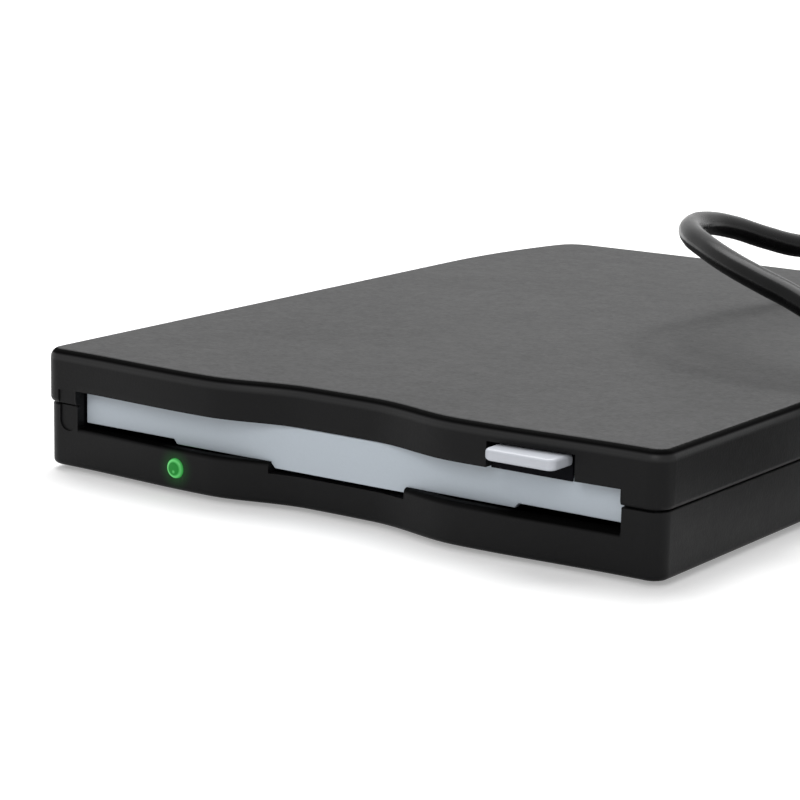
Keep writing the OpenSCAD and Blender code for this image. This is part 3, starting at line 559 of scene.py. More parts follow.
@dataclass(frozen=True)
class ContactTongue(Finish):
    """White moulding whose strips, raised above a level, are plated."""

    level: float
    plating: Colour = (0.83, 0.62, 0.25)

    def _sockets(self, paint: Paint) -> Sockets:
        """The surface's sockets."""
        _, _, z = paint.xyz()
        plated = z > self.level
        fine = paint.noise(1500.0, 2.0, 0.5)
        return {
            "Base Color": paint.mix(plated, self.colour, self.plating),
            "Metallic": plated,
            "Roughness": (0.28 + 0.12 * fine).cut(),
        }


class Finishes:
    """The drive's finishes, each made once."""

    BLACK: Colour = (0.004, 0.004, 0.0043)
    MOULDED = {"roughness": 0.42, "grain": 0.42, "mottle": 0.14, "gloss": 0.12}
    RECIPES = (
        FieldedPlastic("top_plastic", BLACK, relief=0.36, **MOULDED),
        LippedPlastic("base_plastic", BLACK, relief=0.30, **MOULDED),
        GrainedPlastic("bezel_plastic", (0.003, 0.003, 0.0045), 0.55, 0.5, 0.2, 0.12, 0.04),
        GrainedPlastic("flap_plastic", (0.475, 0.527, 0.578), 0.5, 0.36, 0.22, 0.05, 0.4),
        GrainedPlastic("button_plastic", (0.52, 0.54, 0.585), 0.42, 0.3, 0.12, 0.04, 0.5),
        GrainedPlastic("carriage_plastic", (0.09, 0.095, 0.1), 0.5, 0.4, 0.25, 0.1),
        GrainedPlastic("tie_plastic", (0.02, 0.02, 0.022), 0.42, 0.6, 0.3, 0.1),
        SheetMetal("sheet_steel", (0.46, 0.47, 0.48), 0.38),
        SheetMetal("spring_metal", (0.56, 0.57, 0.58), 0.26, (0.1, 1.0, 1.0)),
        SheetMetal("screw_metal", (0.34, 0.35, 0.36), 0.3, (1.0, 1.0, 1.0)),
        TurnedSteel("bright_steel", (0.60, 0.61, 0.62)),
        TurnedSteel("plug_steel", (0.53, 0.54, 0.55), 0.28),
        SinteredBronze("bearing_bronze", (0.62, 0.42, 0.20)),
        Vinyl("cord_vinyl", (0.0022, 0.0022, 0.0024), 0.24, 0.12),
        Vinyl("grip_vinyl", (0.016, 0.016, 0.017), 0.46),
        Vinyl("foot_rubber", (0.018, 0.018, 0.018), 0.7),
        Vinyl("lead_cover", (0.22, 0.02, 0.015), 0.4),
        CircuitBoard("board_green", (0.016, 0.10, 0.045)),
        ChipCase("chip_black", (0.02, 0.02, 0.021)),
        StripedFilm("cable_film", (0.62, 0.6, 0.55)),
        GroundCeramic("head_ceramic", (0.74, 0.73, 0.68)),
    )

    def __init__(self) -> None:
        """Makes every finish."""
        self.made = {recipe.name: recipe.make() for recipe in self.RECIPES}

    def add(self, recipe: Finish) -> None:
        """Makes one more finish."""
        self.made[recipe.name] = recipe.make()

    def on(self, piece: Object, name: str) -> None:
        """Gives a piece one finish all over.

        Args:
            piece: the piece.
            name: the finish.
        """
        made = self.made[name]
        if not piece.data.materials:
            piece.data.materials.append(made)
        for i, slot in enumerate(piece.material_slots):
            piece.data.materials[i] = slot.material = made

    def dress(self, piece: Object, nodes: Sequence[str], body: Body, finish: str, slot: str) -> None:
        """Finishes a new piece, hides the CAD nodes it replaces and hangs it on its body.

        Args:
            piece: the piece.
            nodes: the CAD nodes that it replaces.
            body: the body that carries it.
            finish: its finish.
            slot: not used.
        """
        self.on(piece, finish)
        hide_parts(*nodes)
        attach(piece, body.value)


def add_object(name: str, data: bpy.types.ID) -> Object:
    """Puts new data into the scene as an object."""
    made = bpy.data.objects.new(name, data)
    bpy.context.scene.collection.objects.link(made)
    return made


def arc(start: float, end: float, steps: int) -> list[Pair]:
    """Cosine and sine at steps + 1 even places between two angles in degrees."""
    angles = [radians(start + (end - start) * i / steps) for i in range(steps + 1)]
    return [(cos(a), sin(a)) for a in angles]


def circle(sides: int) -> list[Pair]:
    """Cosine and sine at even places all the way round."""
    angles = [2.0 * pi * i / sides for i in range(sides)]
    return [(cos(a), sin(a)) for a in angles]


class Form:
    """A mesh being built in millimetres of the casing frame."""

    def __init__(self) -> None:
        """Starts empty."""
        self.mesh = bmesh.new()

    def loft(self, rings: Sequence[Sequence[Point]], closed: bool = False) -> None:
        """Skins rings of equal length.

        Args:
            rings: rings of points, each counter-clockwise seen from above.
            closed: joins the last ring back to the first instead of capping both.
        """
        rows = [[self.mesh.verts.new(p) for p in ring] for ring in rings]
        count = len(rows[0])
        pairs = list(zip(rows, rows[1:]))
        if closed:
            pairs.append((rows[-1], rows[0]))
        else:
            self.mesh.faces.new(list(reversed(rows[0])))
            self.mesh.faces.new(rows[-1])
        for low, high in pairs:
            for i in range(count):
                j = (i + 1) % count
                self.mesh.faces.new((low[i], low[j], high[j], high[i]))

    def block(self, low: Point, high: Point) -> None:
        """Box between two corners."""
        (ax, ay, az), (bx, by, bz) = low, high
        base = [(ax, ay), (bx, ay), (bx, by), (ax, by)]
        self.loft([[(x, y, az) for x, y in base], [(x, y, bz) for x, y in base]])

    def turned(self, centre: Point, axis: Axis, profile: Sequence[Pair], sides: int = 48) -> None:
        """Solid of revolution.

        Args:
            centre: a point on its axis.
            axis: direction of the axis.
            profile: (distance along the axis, radius), end to end.
            sides: points round each ring.
        """
        x, y, z = centre
        rings = []
        for along, radius in profile:
            ring = [(radius * c, radius * s) for c, s in circle(sides)]
            if axis is Axis.Y:
                rings.append([(x + s, y + along, z + c) for c, s in ring])
            else:
                rings.append([(x + c, y + s, z + along) for c, s in ring])
        self.loft(rings)

    def piece(self, name: str) -> Object:
        """Turns the form into an object in the drive's frame.

        Args:
            name: the object's name.

        Returns:
            The object.
        """
        bmesh.ops.recalc_face_normals(self.mesh, faces=self.mesh.faces)
        seat = Matrix.Scale(MM, 4) @ Matrix.Translation((0.0, -MID_Y, FOOT))
        bmesh.ops.transform(self.mesh, matrix=seat, verts=self.mesh.verts)
        data = bpy.data.meshes.new(name)
        self.mesh.to_mesh(data)
        self.mesh.free()
        return add_object(name, data)


def modify(piece: Object, kind: str, **settings: object) -> None:
    """Applies one modifier to a piece's mesh.

    Args:
        piece: what is changed.
        kind: the modifier's type.
        settings: the modifier's own settings.
    """
    tool = piece.modifiers.new(kind.lower(), kind)
    for key, value in settings.items():
        setattr(tool, key, value)
    graph = bpy.context.evaluated_depsgraph_get()
    old, mesh = piece.data, bpy.data.meshes.new_from_object(piece.evaluated_get(graph))
    piece.modifiers.clear()
    piece.data = mesh
    bpy.data.meshes.remove(old)
    mesh.name = piece.name


def carve(piece: Object, cutter: Object) -> None:
    """Takes the cutter's solids away from the piece, and uses the cutter up."""
    modify(piece, "BOOLEAN", operation="DIFFERENCE", solver="EXACT", use_self=True, object=cutter)
    bpy.data.objects.remove(cutter)


def join(piece: Object, other: Object) -> None:
    """Moves one object's mesh into another's.

    Args:
        piece: what grows.
        other: what is used up.
    """
    mesh = bmesh.new()
    mesh.from_mesh(piece.data)
    mesh.from_mesh(other.data)
    mesh.to_mesh(piece.data)
    mesh.free()
    bpy.data.objects.remove(other)


def ease(piece: Object, width: float, angle: float, steps: int) -> None:
    """Rounds the sharp edges.

    Args:
        piece: what is rounded.
        width: size of the rounding in millimetres.
        angle: edges sharper than this are rounded, in degrees.
        steps: faces across each rounding.
    """
    limit = {"limit_method": "ANGLE", "angle_limit": radians(angle)}
    modify(piece, "BEVEL", width=width * MM, segments=steps, miter_outer="MITER_ARC", **limit)


def smooth(piece: Object, angle: float) -> None:
    """Shades a piece smooth, with its flat faces kept flat.

    Args:
        piece: the piece.
        angle: edges sharper than this stay sharp, in degrees.
    """
    mesh = piece.data
    mesh.polygons.foreach_set("use_smooth", [True] * len(mesh.polygons))
    mesh.set_sharp_from_angle(angle=radians(angle))
    modify(piece, "WEIGHTED_NORMAL", keep_sharp=True)


def rounded(node: str, width: float, angle: float, steps: int) -> Object:
    """Copy of a CAD node's shape, with flat faces in one piece and rounded edges.

    Args:
        node: the CAD node.
        width: size of the rounding in millimetres.
        angle: edges sharper than this are rounded, in degrees.
        steps: faces across each rounding.

    Returns:
        The copy.
    """
    mesh = bmesh.new()
    mesh.from_mesh(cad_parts[node].data)
    bmesh.ops.remove_doubles(mesh, verts=mesh.verts, dist=2e-6)
    bmesh.ops.dissolve_limit(mesh, angle_limit=radians(0.8), verts=mesh.verts, edges=mesh.edges)
    data = bpy.data.meshes.new(node + "_form")
    mesh.to_mesh(data)
    mesh.free()
    piece = add_object(node + "_form", data)
    ease(piece, width, angle, steps)
    smooth(piece, angle)
    return piece


@dataclass(frozen=True)
class Plan:
    """Outline of the casing seen from above, with its wave-shaped front."""

    width: float = 105.2
    depth: float = 141.0
    corner: float = 2.8
    rear_corner: float = 6.0
    tail_in: float = 4.0
    tail_len: float = 30.0
    rear_bow: float = 1.0
    bulge: float = 1.1
    recess: float = 1.9
    bulge_x: float = 22.5
    recess_x: float = 5.0
    front_bow: float = 0.05
    wave_steps: int = 110

    @property
    def front_end(self) -> float:
        """Half length of the front between its corners."""
        return self.width / 2 - self.corner

    @staticmethod
    def blend(t: float) -> float:
        """Smooth step from 0 to 1."""
        return 0.5 - 0.5 * cos(pi * min(max(t, 0.0), 1.0))

    def wave(self, x: float) -> float:
        """Shape of the front.

        Args:
            x: distance from the middle.

        Returns:
            How far back the front is there.
        """
        u = abs(x)
        swell = 1.0 - self.blend((u - self.bulge_x) / (self.front_end - self.bulge_x))
        ramp = self.bulge_x - 1.0
        dip = 1.0 - self.blend((u - self.recess_x) / (ramp - self.recess_x))
        bow = self.front_bow * max(0.0, 1.0 - (u / self.recess_x) ** 2)
        return -self.bulge * swell + (self.bulge + self.recess) * dip + bow

    def _half(self) -> list[tuple[float, float, float, float]]:
        """Right half: points with outward normals, front middle to rear middle."""
        hw, bow, corner = self.width / 2, self.rear_bow, self.rear_corner
        a1 = atan(2 * self.tail_in / self.tail_len)
        b1 = atan(2 * bow / (hw - self.tail_in - corner))
        rear_x = hw - self.tail_in - corner * cos(a1) + corner * sin(b1)
        tail_end = self.depth - bow - corner * cos(b1) + corner * sin(a1)
        tail_y = tail_end - self.tail_len
        line: list[tuple[float, float, float, float]] = []
        for i in range(self.wave_steps + 1):
            x = self.front_end * i / self.wave_steps
            s = (self.wave(x + 0.05) - self.wave(x - 0.05)) / 0.1
            n = hypot(1.0, s)
            line.append((x, self.wave(x), s / n, -1.0 / n))
        for c, s in arc(-90, 0, 14)[1:]:
            line.append((self.front_end + self.corner * c, self.corner + self.corner * s, c, s))
        for k in range(25):
            t = k / 24
            a = atan(2 * self.tail_in * t / self.tail_len)
            x, y = hw - self.tail_in * t * t, tail_y + self.tail_len * t
            line.append((x, y, cos(a), sin(a)))
        cx = line[-1][0] - corner * cos(a1)
        cy = line[-1][1] - corner * sin(a1)
        for k in range(1, 17):
            a = a1 + (pi / 2 - b1 - a1) * k / 16
            c, s = cos(a), sin(a)
            line.append((cx + corner * c, cy + corner * s, c, s))
        for k in range(1, 19):
            x = rear_x * (1 - k / 18)
            s = 2 * bow * x / (rear_x * rear_x)
            n = hypot(1.0, s)
            line.append((x, self.depth - bow * (x / rear_x) ** 2, s / n, 1.0 / n))
        return line

    def ring(self, inset: float, z: float) -> list[Point]:
        """Outline drawn in by inset at height z."""
        half = self._half()
        whole = half + [(-x, y, -nx, ny) for x, y, nx, ny in reversed(half[1:-1])]
        return [(x - inset * nx, y - inset * ny, z) for x, y, nx, ny in whole]


@dataclass
class Viewpoint:
    """Camera where the photograph was taken from."""

    place: Point = (216.56, -363.43, 96.65)
    yaw: float = 34.4246
    pitch: float = 12.7209
    roll: float = 1.2583
    lens: float = 123.25
    shift: Pair = (-0.0213, 0.0344)

    def build(self) -> None:
        """Makes the camera and makes it the scene's own."""
        yaw, pitch, roll = (radians(v) for v in (self.yaw, self.pitch, self.roll))
        ahead = Vector(
            (-sin(yaw) * cos(pitch), cos(yaw) * cos(pitch), -sin(pitch))
        )
        level = Vector((cos(yaw), sin(yaw), 0.0))
        over = level.cross(ahead)
        right = level * cos(roll) + over * sin(roll)
        up = over * cos(roll) - level * sin(roll)
        data = bpy.data.cameras.new("viewpoint")
        data.lens = self.lens
        data.sensor_width = 36.0
        data.shift_x, data.shift_y = self.shift
        data.clip_start, data.clip_end = 0.01, 20.0
        made = add_object("viewpoint", data)
        turn = Matrix((right, up, -ahead)).transposed().to_4x4()
        made.matrix_world = Matrix.Translation(Vector(self.place) * MM) @ turn
        bpy.context.scene.camera = made
        log.info("camera placed")


@dataclass
class Cord:
    """Cord from the strain relief over the top to its coil and plug, in millimetres."""

    diameter: float = 3.8
    exit: Point = (32.0, 93.88, 10.4)
    lead: tuple[Point, ...] = (
        (32, 100, 10.4), (32, 107.5, 11.2), (32.1, 113.6, 14.4), (32.2, 117.2, 19.4),
        (32.1, 117.6, 24.2), (31.9, 115.6, 28.6), (31, 110.9, 31.9), (29.4, 104.5, 33),
        (27.1, 96, 32.2), (24.6, 87.5, 30.6),
        (21.9, 79, 29), (19.4, 70.5, 27.6), (16.9, 62, 26.6), (14.6, 53.5, 26.1),
        (12.4, 45.5, 27), (10.2, 38, 29), (8.4, 30, 31.4), (7.8, 22, 32.9), (9.4, 14.5, 33.3),
        (13.4, 7.5, 33.1), (19.1, 2, 32.4), (25.6, -2.6, 31.3), (32.6, -6.2, 30),
        (40.1, -9.2, 28.4), (47.6, -12.2, 26), (54.5, -16, 22.3), (59.5, -20, 17),
        (63.9, -23.5, 11.2), (68.2, -27.8, 6.2), (74.5, -31.5, 3.5), (81, -32.6, 2.8),
        (84.5, -32.6, 2.8),
    )
    tail: tuple[Point, ...] = (
        (84, 16.6, 7.1), (82, 16.6, 7.1), (77.6, 17.9, 6), (73.3, 21, 4.6), (70.5, 25.3, 3.9),
        (69.5, 30, 3.9), (69.5, 34, 3.9),
    )
    coil_centre: Pair = (88.0, -8.0)
    coil_radius: float = 24.6
    pitch: float = 4.3
    coil_low: float = 2.8
    lift: float = 4.3
    turns_each: int = 2
    points_per_turn: int = 24
    curve: Object | None = field(default=None, init=False)

    def _coil_point(self, t: float) -> Point:
        """Route of the coil: inwards below, up, outwards above.

        Args:
            t: turns since the coil's start.

        Returns:
            The point there.
        """
        change = self.turns_each + 0.25
        shrink = self.pitch * min(t, change)
        grow = self.pitch * max(t - change, 0.0)
        radius = self.coil_radius - shrink + grow
        climb = min(max((t - self.turns_each) / 0.5, 0.0), 1.0)
        a = radians(-90 + 360 * t)
        return (
            self.coil_centre[0] + radius * cos(a),
            self.coil_centre[1] + radius * sin(a),
            self.coil_low + self.lift * climb,
        )

    def route(self) -> list[Point]:
        """Every point of the cord, from the strain relief to the plug."""
        end = self.turns_each * 2 + 0.5
        count = int(end * self.points_per_turn)
        coil = [self._coil_point(end * i / count) for i in range(count + 1)]
        return [self.exit, *self.lead, *coil, *self.tail]

    def build(self, finishes: Finishes) -> None:
        """Draws the cord as one smooth tube.

        Args:
            finishes: the drive's finishes.
        """
        points = [Vector(p) * MM for p in self.route()]
        data = bpy.data.curves.new("cord", "CURVE")
        data.dimensions = "3D"
        data.resolution_u = 8
        data.bevel_depth = self.diameter / 2 * MM
        data.bevel_resolution = 7
        data.use_fill_caps = True
        line = data.splines.new("BEZIER")
        line.bezier_points.add(len(points) - 1)
        for knot, point in zip(line.bezier_points, points):
            knot.co = point
            knot.handle_left_type = knot.handle_right_type = "AUTO"
        self.curve = add_object("cord", data)
        nodes = ("cord_lead", "cord_coil", "cord_tail")
        finishes.dress(self.curve, nodes, Body.DRIVE, "cord_vinyl", "cord_black")
        log.info("cord drawn through %d points", len(points))


@dataclass
class CordEnds:
    """Strain relief, tie and plug."""

    finishes: Finishes
    plug_z: float = 3.9
    shell_half: float = 2.25
    shell_wall: float = 0.3
    strip_low: float = 1.96
    pieces: list[Object] = field(default_factory=list, init=False)

    def build(self) -> None:
        """Makes the mouldings with rounded edges."""
        for node, width, finish, slot in (
            ("strain_relief", 0.12, "cord_vinyl", "cord_black"),
            ("coil_tie", 0.25, "tie_plastic", "base_black"),
            ("plug_grip", 0.35, "grip_vinyl", "cord_black"),
            ("plug_shell", 0.12, "plug_steel", "bright_steel"),
        ):
            piece = rounded(node, width, 40.0, 2)
            self.finishes.dress(piece, (node,), Body.DRIVE, finish, slot)
            self.pieces.append(piece)
        level = (self.plug_z - self.shell_half + self.shell_wall + self.strip_low) * MM
        self.finishes.add(ContactTongue("plug_tongue_plated", (0.82, 0.82, 0.8), level))
        self.finishes.on(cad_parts["plug_tongue"], "plug_tongue_plated")
        log.info("strain relief, tie and plug made")


@dataclass
class Casing:
    """The two shells, with every edge rounded as it is moulded, in millimetres."""

    finishes: Finishes
    plan: Plan = Plan()
    height: float = 17.5
    seam: float = 9.6
    wall: float = 1.9
    floor: float = 1.5
    roof: float = 1.5
    rim: float = 0.4
    seam_gap: float = 0.35
    seam_deep: float = 0.7
    roof_r: float = 1.5
    base_r: float = 0.8
    slot_half: float = 46.2
    slot_low: float = 6.1
    slot_high: float = 11.7
    lip_ease: float = 0.7
    flap_room: float = 2.05
    flap_drop: float = 0.65
    finger_half: float = 11.6
    finger_drop: float = 1.6
    pad: float = 3.8
    pad_depth: float = 0.25
    pad_gap: float = 0.2
    button_x: float = 32.85
    notch_half: float = 6.6
    notch_top: float = 15.25
    notch_deep: float = 2.2
    lamp: Point = (-26.8, 3.25, 1.5)  # x, height and radius of its hole
    relief: Point = (32.0, 9.6, 2.85)  # x, height and radius of its hole
    post: Pair = (41.0, 133.5)
    post_r: float = 3.0
    post_bore: float = 1.1
    module_screw_x: float = 43.8
    module_screw_y: Pair = (32.0, 108.0)
    head_r: float = 2.3
    feet: tuple[Pair, ...] = ((42.0, 14.0), (40.0, 124.0))
    foot_r: float = 4.1
    top_ease: float = 0.28
    base_ease: float = 0.1
    sharp: float = 40.0  # degrees
    shading: float = 34.0  # degrees

    @property
    def mouth_deep(self) -> float:
        """How far back the slot is cut."""
        return self.plan.recess + self.wall + 0.4

    @property
    def pad_sides(self) -> Pair:
        """Left and right side of the pads beside the slot."""
        right = -self.slot_half - self.pad_gap
        return right - self.pad + 0.6, right

    def _shell(self, outer: Sequence[Pair], inner: Sequence[Pair], name: str) -> Object:
        """A cap-shaped shell.

        Args:
            outer: (inset, height) of its outside, from the open edge to the closed end.
            inner: (inset, height) of its inside, from the open edge to the closed end.
            name: the object's name.

        Returns:
            The shell.
        """
        form = Form()
        form.loft([self.plan.ring(inset, z) for inset, z in (*reversed(inner), *outer)])
        return form.piece(name)

    def _mouth(self, form: Form) -> None:
        """Cuts the slot."""
        corner = (self.slot_half, self.mouth_deep, self.slot_high)
        form.block((-self.slot_half, AHEAD, self.slot_low), corner)

    def _relief_hole(self, form: Form) -> None:
        """Cuts the strain relief's hole through the rear."""
        x, z, r = self.relief
        ends = (self.plan.depth - 12.0, self.plan.depth + 2.0)
        form.turned((x, 0.0, z), Axis.Y, [(y, r) for y in ends])

    def build_top(self) -> Object:
        """Makes the upper shell."""
        z, r = self.seam, self.roof_r
        outer = [(0.3, z), (0.2, z + 0.08), (0.1, z + 0.24), (0.03, z + 0.42), (0.0, z + 0.6)]
        outer += [(0.0, z + 3.2)]
        outer += [(r * (1 - c), self.height - r + r * s) for c, s in arc(0, 90, 12)]
        inner = [(self.wall, z), (self.wall, self.height - self.roof)]
        shell = self._shell(outer, inner, "top_cover_form")
        cut = Form()
        self._mouth(cut)
        cut.block(
            (self.button_x - self.notch_half, AHEAD, self.slot_high - 1.0),
            (self.button_x + self.notch_half, self.notch_deep, self.notch_top),
        )
        left, right = self.pad_sides
        cut.block((left, -1.0, z - 0.1), (right, self.pad_depth, self.slot_high - 0.1))
        self._relief_hole(cut)
        carve(shell, cut.piece("top_cut"))
        ease(shell, self.top_ease, self.sharp, 3)
        smooth(shell, self.shading)
        return shell

    def _posts(self) -> Object:
        """Posts of the casing screws, as open tubes."""
        form = Form()
        (x, y), low, r, bore = self.post, self.floor - 0.1, self.post_r, self.post_bore
        profile = ((bore, low), (r, low), (r, self.seam), (bore, self.seam))
        for side in (-1, 1):
            rings = [[(side * x + r * c, y + r * s, z) for c, s in circle(40)] for r, z in profile]
            form.loft(rings, closed=True)
        return form.piece("posts")

    def _lower_pad(self, form: Form) -> None:
        """Cuts the lower pad beside the slot, with its lower corners round.

        Args:
            form: the cutter.
        """
        left, right = self.pad_sides
        low, high = self.seam - self.seam_gap - self.pad, self.seam + 0.1
        r = (right - left) / 2 - 0.05
        outline = [(right, high), (left, high)]
        for x, start in ((left + r, 180), (right - r, 270)):
            outline += [(x + r * c, low + r + r * s) for c, s in arc(start, start + 90, 12)]
        back = self.rim + self.pad_depth
        form.loft([[(x, y, z) for x, z in outline] for y in (-1.0, back)])

    def _lip_round(self) -> Object:
        """What the rounding takes off the slot's lower lip."""
        r = self.lip_ease
        cut = Form()
        cut.block(
            (-self.slot_half, AHEAD, self.slot_low - r),
            (self.slot_half, self.plan.recess + self.wall, self.slot_low + 0.5),
        )
        kept = Form()
        rounding = [(r * (1 - c), self.slot_low - r * (1 - s)) for c, s in arc(0, 90, 8)]
        rounding.append((r, self.slot_low + 1.0))
        kept.loft([self.plan.ring(self.rim + inset, z) for inset, z in rounding])
        made = cut.piece("lip_cut")
        carve(made, kept.piece("lip_kept"))
        return made

    def _floor_holes(self, form: Form) -> None:
        """Cuts the screws' wells and the feet's recesses into the floor.

        Args:
            form: the cutter.
        """
        wells = [(*self.post, 1.3, 1.2)]
        wells += [(self.module_screw_x, y, 0.8, 1.1) for y in self.module_screw_y]
        for side in (-1, 1):
            for x, y, deep, bore in wells:
                profile = [(-1.0, self.head_r), (deep, self.head_r), (deep, bore), (4.0, bore)]
                form.turned((side * x, y, 0.0), Axis.Z, profile, 40)
        for x, y in self.feet:
            for side in (-1, 1):
                form.turned((side * x, y, 0.0), Axis.Z, [(-1.0, self.foot_r), (0.5, self.foot_r)])

    def build_bottom(self) -> Object:
        """Makes the lower shell."""
        z, edge, r = self.seam, self.seam - self.seam_gap, self.base_r
        groove = self.rim + self.seam_deep
        outer = [(groove, z), (groove, edge + 0.05), (self.rim + 0.1, edge), (self.rim, edge - 0.1)]
        outer += [(self.rim + r * (1 - s), r * (1 - c)) for c, s in reversed(arc(0, 90, 8))]
        inner = [(self.wall, z), (self.wall, self.floor)]
        shell = self._shell(outer, inner, "bottom_cover_form")
        cut = Form()
        self._mouth(cut)
        cut.block(
            (-self.finger_half, AHEAD, self.slot_low - self.finger_drop),
            (self.finger_half, self.mouth_deep + 0.01, self.slot_low + 1.0),
        )
        cut.block(
            (-self.slot_half - 0.01, self.flap_room, self.slot_low - self.flap_drop),
            (self.slot_half + 0.01, self.mouth_deep + 0.02, z + 1.0),
        )
        self._lower_pad(cut)
        x, lamp_z, lamp_r = self.lamp
        cut.turned((x, 0.0, lamp_z), Axis.Y, [(AHEAD, lamp_r), (3.9, lamp_r)])
        self._relief_hole(cut)
        self._floor_holes(cut)
        carve(shell, cut.piece("bottom_cut"))
        carve(shell, self._lip_round())
        ease(shell, self.base_ease, self.sharp, 2)
        join(shell, self._posts())
        smooth(shell, self.shading)
        return shell

    def build(self) -> None:
        """Makes and dresses both shells."""
        for made, node, finish, slot in (
            (self.build_top(), "top_cover", "top_plastic", "casing_black"),
            (self.build_bottom(), "bottom_cover", "base_plastic", "base_black"),
        ):
            self.finishes.dress(made, (node,), Body.DRIVE, finish, slot)
            log.info("%s made, %d faces", node, len(made.data.polygons))


@dataclass
class Front:
    """Flap, button, lamp and bezel, in millimetres."""

    finishes: Finishes
    lamp: Point = (-26.8, -1.11, 3.25)
    lamp_r: float = 1.45
    lamp_seat: float = 2.3
    lamp_back: float = 3.1
    collar: float = 0.2
    leg_end: float = 4.25
    button: Point = (32.85, -3.904, 13.35)
    button_half: float = 5.45
    button_h: float = 1.6
    button_back: float = 0.946
    button_end: float = 8.4
    button_corner: float = 1.3
    button_edge: float = 0.5
    shank_in: float = 0.5
    shank_thin: float = 0.15

    def _button_ring(self, inset: float) -> list[Pair]:
        """Outline of the button's cap seen from above.

        Args:
            inset: how far it is drawn in.

        Returns:
            Its points.
        """
        x, y, _ = self.button
        half, front, r = self.button_half - inset, y + inset, self.button_corner - inset
        ring = [(x - half, self.button_back)]
        for side, start in ((-1, 180), (1, 270)):
            mid = x + side * (half - r)
            ring += [(mid + r * c, front + r + r * s) for c, s in arc(start, start + 90, 8)]
        return [*ring, (x + half, self.button_back)]

    def _button(self) -> None:
        """The button: a cap with round corners and edges, and its shank."""
        x, _, z = self.button
        edge, height = self.button_edge, self.button_h
        levels = [(edge * (1 - s), edge * (1 - c)) for c, s in arc(0, 90, 6)]
        levels += [(edge * (1 - c), height - edge * (1 - s)) for c, s in arc(0, 90, 6)]
        form = Form()
        form.loft(
            [[(px, py, z + lift) for px, py in self._button_ring(inset)] for inset, lift in levels]
        )
        half = self.button_half
        form.block(
            (x - half + self.shank_in, self.button_back - 0.1, z + self.shank_thin),
            (x + half - self.shank_in, self.button_end, z + height - self.shank_thin),
        )
        piece = form.piece("eject_button_form")
        smooth(piece, 50.0)
        self.finishes.dress(piece, ("eject_button",), Body.EJECT, "button_plastic", "button_grey")

    def _lamp(self) -> None:
        """The lamp: a domed nose in a collar, with two legs."""
        x, nose, z = self.lamp
        r, wide = self.lamp_r, self.lamp_r + self.collar
        dome = [sin(radians(12 + 13 * k)) for k in range(7)]
        profile = [(nose + 0.06 * k * k * 0.25, r * s) for k, s in enumerate(dome)]
        profile += [(nose + 0.75, r), (self.lamp_seat, r)]
        profile += [(self.lamp_seat, wide), (self.lamp_back, wide)]
        form = Form()
        form.turned((x, 0.0, z), Axis.Y, profile)
        for leg in (-0.7, 0.4):
            form.block((x + leg, 3.0, z - 0.15), (x + leg + 0.3, self.leg_end, z + 0.15))
        piece = form.piece("lamp_form")
        smooth(piece, 50.0)
        centre = (x * MM, 0.0, (z + FOOT) * MM)
        self.finishes.add(GreenLamp("lamp_lit", (0.004, 0.03, 0.006), centre, r * MM))
        self.finishes.dress(piece, ("lamp",), Body.DRIVE, "lamp_lit", "lamp_green")

    def build(self) -> None:
        """Makes the front's pieces."""
        flap = rounded("dust_flap", 0.16, 35.0, 3)
        self.finishes.dress(flap, ("dust_flap",), Body.FLAP, "flap_plastic", "flap_grey")
        self._button()
        bezel = rounded("front_bezel", 0.12, 35.0, 3)
        self.finishes.dress(bezel, ("front_bezel",), Body.DRIVE, "bezel_plastic", "bezel_black")
        self._lamp()
        log.info("flap, button, lamp and bezel made")


@dataclass
class Module:
    """Everything inside, carried over from the solids with its own finish."""

    WEARERS = {
        "spring_metal": ("flap_spring", "eject_springs"),
        "sheet_steel": (
            "slide_plate", "disk_holder", "shutter_lever", "chassis", "module_shield",
            "upper_head_arm", "stepper_motor",
        ),
        "board_green": ("motor_board", "controller_board", "usb_board"),
        "bearing_bronze": ("spindle_bush",),
        "bright_steel": ("spindle_rotor", "guide_rod", "lead_screw"),
        "carriage_plastic": ("head_carriage",),
        "head_ceramic": ("lower_head", "upper_head"),
        "chip_black": ("controller_chips", "usb_chips"),
        "cable_film": ("ribbon_cable",),
        "lead_cover": ("inner_leads",),
        "foot_rubber": ("rubber_feet",),
        "screw_metal": ("case_screws", "module_screws"),
    }

    finishes: Finishes

    def build(self) -> None:
        """Dresses each node."""
        for finish, nodes in self.WEARERS.items():
            for node in nodes:
                self.finishes.on(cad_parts[node], finish)
            log.info("%s on %s", finish, ", ".join(nodes))


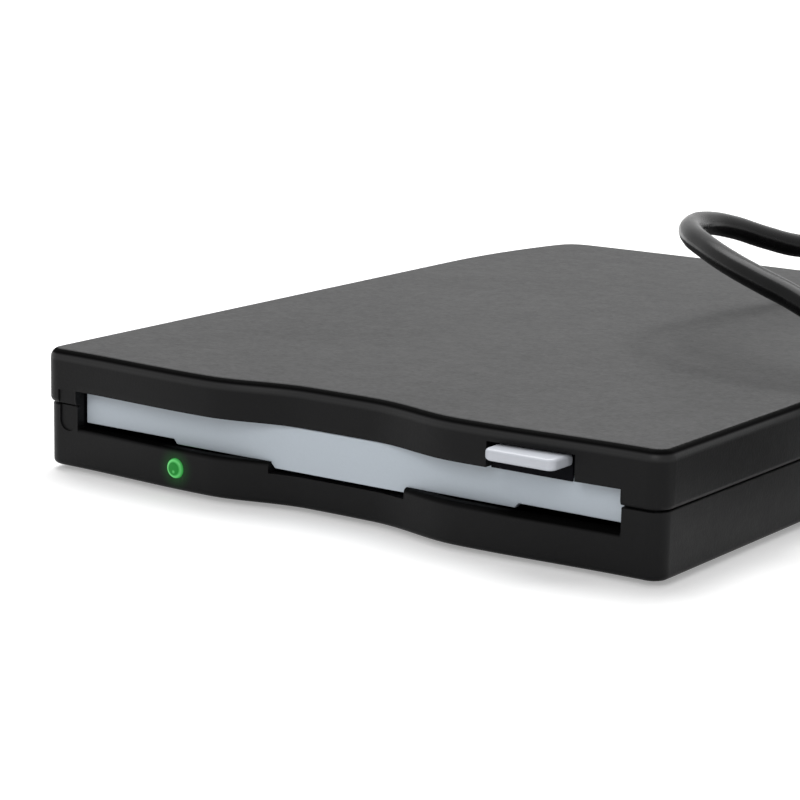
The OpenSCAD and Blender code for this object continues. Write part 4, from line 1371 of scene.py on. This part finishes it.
@dataclass
class Studio:
    """White floor, white surroundings and soft light."""

    glow: float = 0.3
    far_glow: float = 0.7
    ambient: float = 0.36
    floor_size: float = 12.0

    def _floor(self) -> None:
        """Wide pale floor: white to the camera and in reflections, shadow and all."""
        bpy.ops.mesh.primitive_plane_add(size=self.floor_size, location=(0.0, 0.0, 0.0))
        floor = bpy.context.object
        floor.name = "studio_floor"
        paint = Paint(bpy.data.materials.new("floor_white"))
        seen = paint.ray("Camera").largest(paint.ray("Glossy"))
        x, y, _ = paint.xyz()
        far = ((norm(x, y) - 0.25) / 0.9).cut()
        tone = paint.mix(far, (self.glow,) * 3, (self.far_glow,) * 3)
        matt = paint.signal("ShaderNodeBsdfDiffuse", {"Color": (0.8, 0.8, 0.8)})
        glow = paint.signal("ShaderNodeEmission", {"Color": tone})
        both = paint.signal("ShaderNodeAddShader", {0: matt, 1: glow})
        floor.data.materials.append(paint.close(paint.blend(seen, matt, both)))

    def _world(self) -> None:
        """Surroundings: white to the camera and in reflections, softer as light."""
        world = bpy.data.worlds.new("studio")
        bpy.context.scene.world = world
        paint = Paint(world)
        span = {"Value": paint.ray("Diffuse"), "To Min": 1.0, "To Max": self.ambient}
        strength = paint.signal("ShaderNodeMapRange", span)
        white = {"Color": (1.0, 1.0, 1.0), "Strength": strength}
        paint.close(paint.signal("ShaderNodeBackground", white))

    def _lamp(self, name: str, place: Point, aim: Point, size: float, power: float) -> None:
        """One soft square light.

        Args:
            name: its name.
            place: where it is, in metres.
            aim: the point it looks at.
            size: length of its side.
            power: its strength in watts.
        """
        data = bpy.data.lights.new(name, "AREA")
        data.size = size
        data.energy = power
        made = add_object(name, data)
        made.location = place
        made.rotation_euler = (Vector(aim) - Vector(place)).to_track_quat("-Z", "Y").to_euler()

    def build(self) -> None:
        """Sets up floor, surroundings and lights."""
        self._floor()
        self._world()
        self._lamp("overhead", (-0.3, 0.3, 0.9), (0.0, 0.0, 0.0), 0.8, 10.0)
        self._lamp("front_fill", (0.35, -1.15, 0.75), (0.0, 0.0, 0.0), 0.6, 6.0)
        self._lamp("cord_rim", (-0.09, 0.92, 0.74), (0.01, -0.04, 0.03), 0.2, 3.0)
        bpy.context.scene.view_settings.view_transform = "Standard"
        log.info("studio built")


def main() -> None:
    """Builds the drive in order, camera and cord first."""
    logging.basicConfig(level=logging.INFO, format="%(name)s: %(message)s")
    finishes = Finishes()
    Viewpoint().build()
    cord = Cord()
    cord.build(finishes)
    ends = CordEnds(finishes)
    ends.build()
    Casing(finishes).build()
    Front(finishes).build()
    Module(finishes).build()
    Studio().build()
    bpy.context.view_layer.update()


if __name__ == "__main__":
    main()
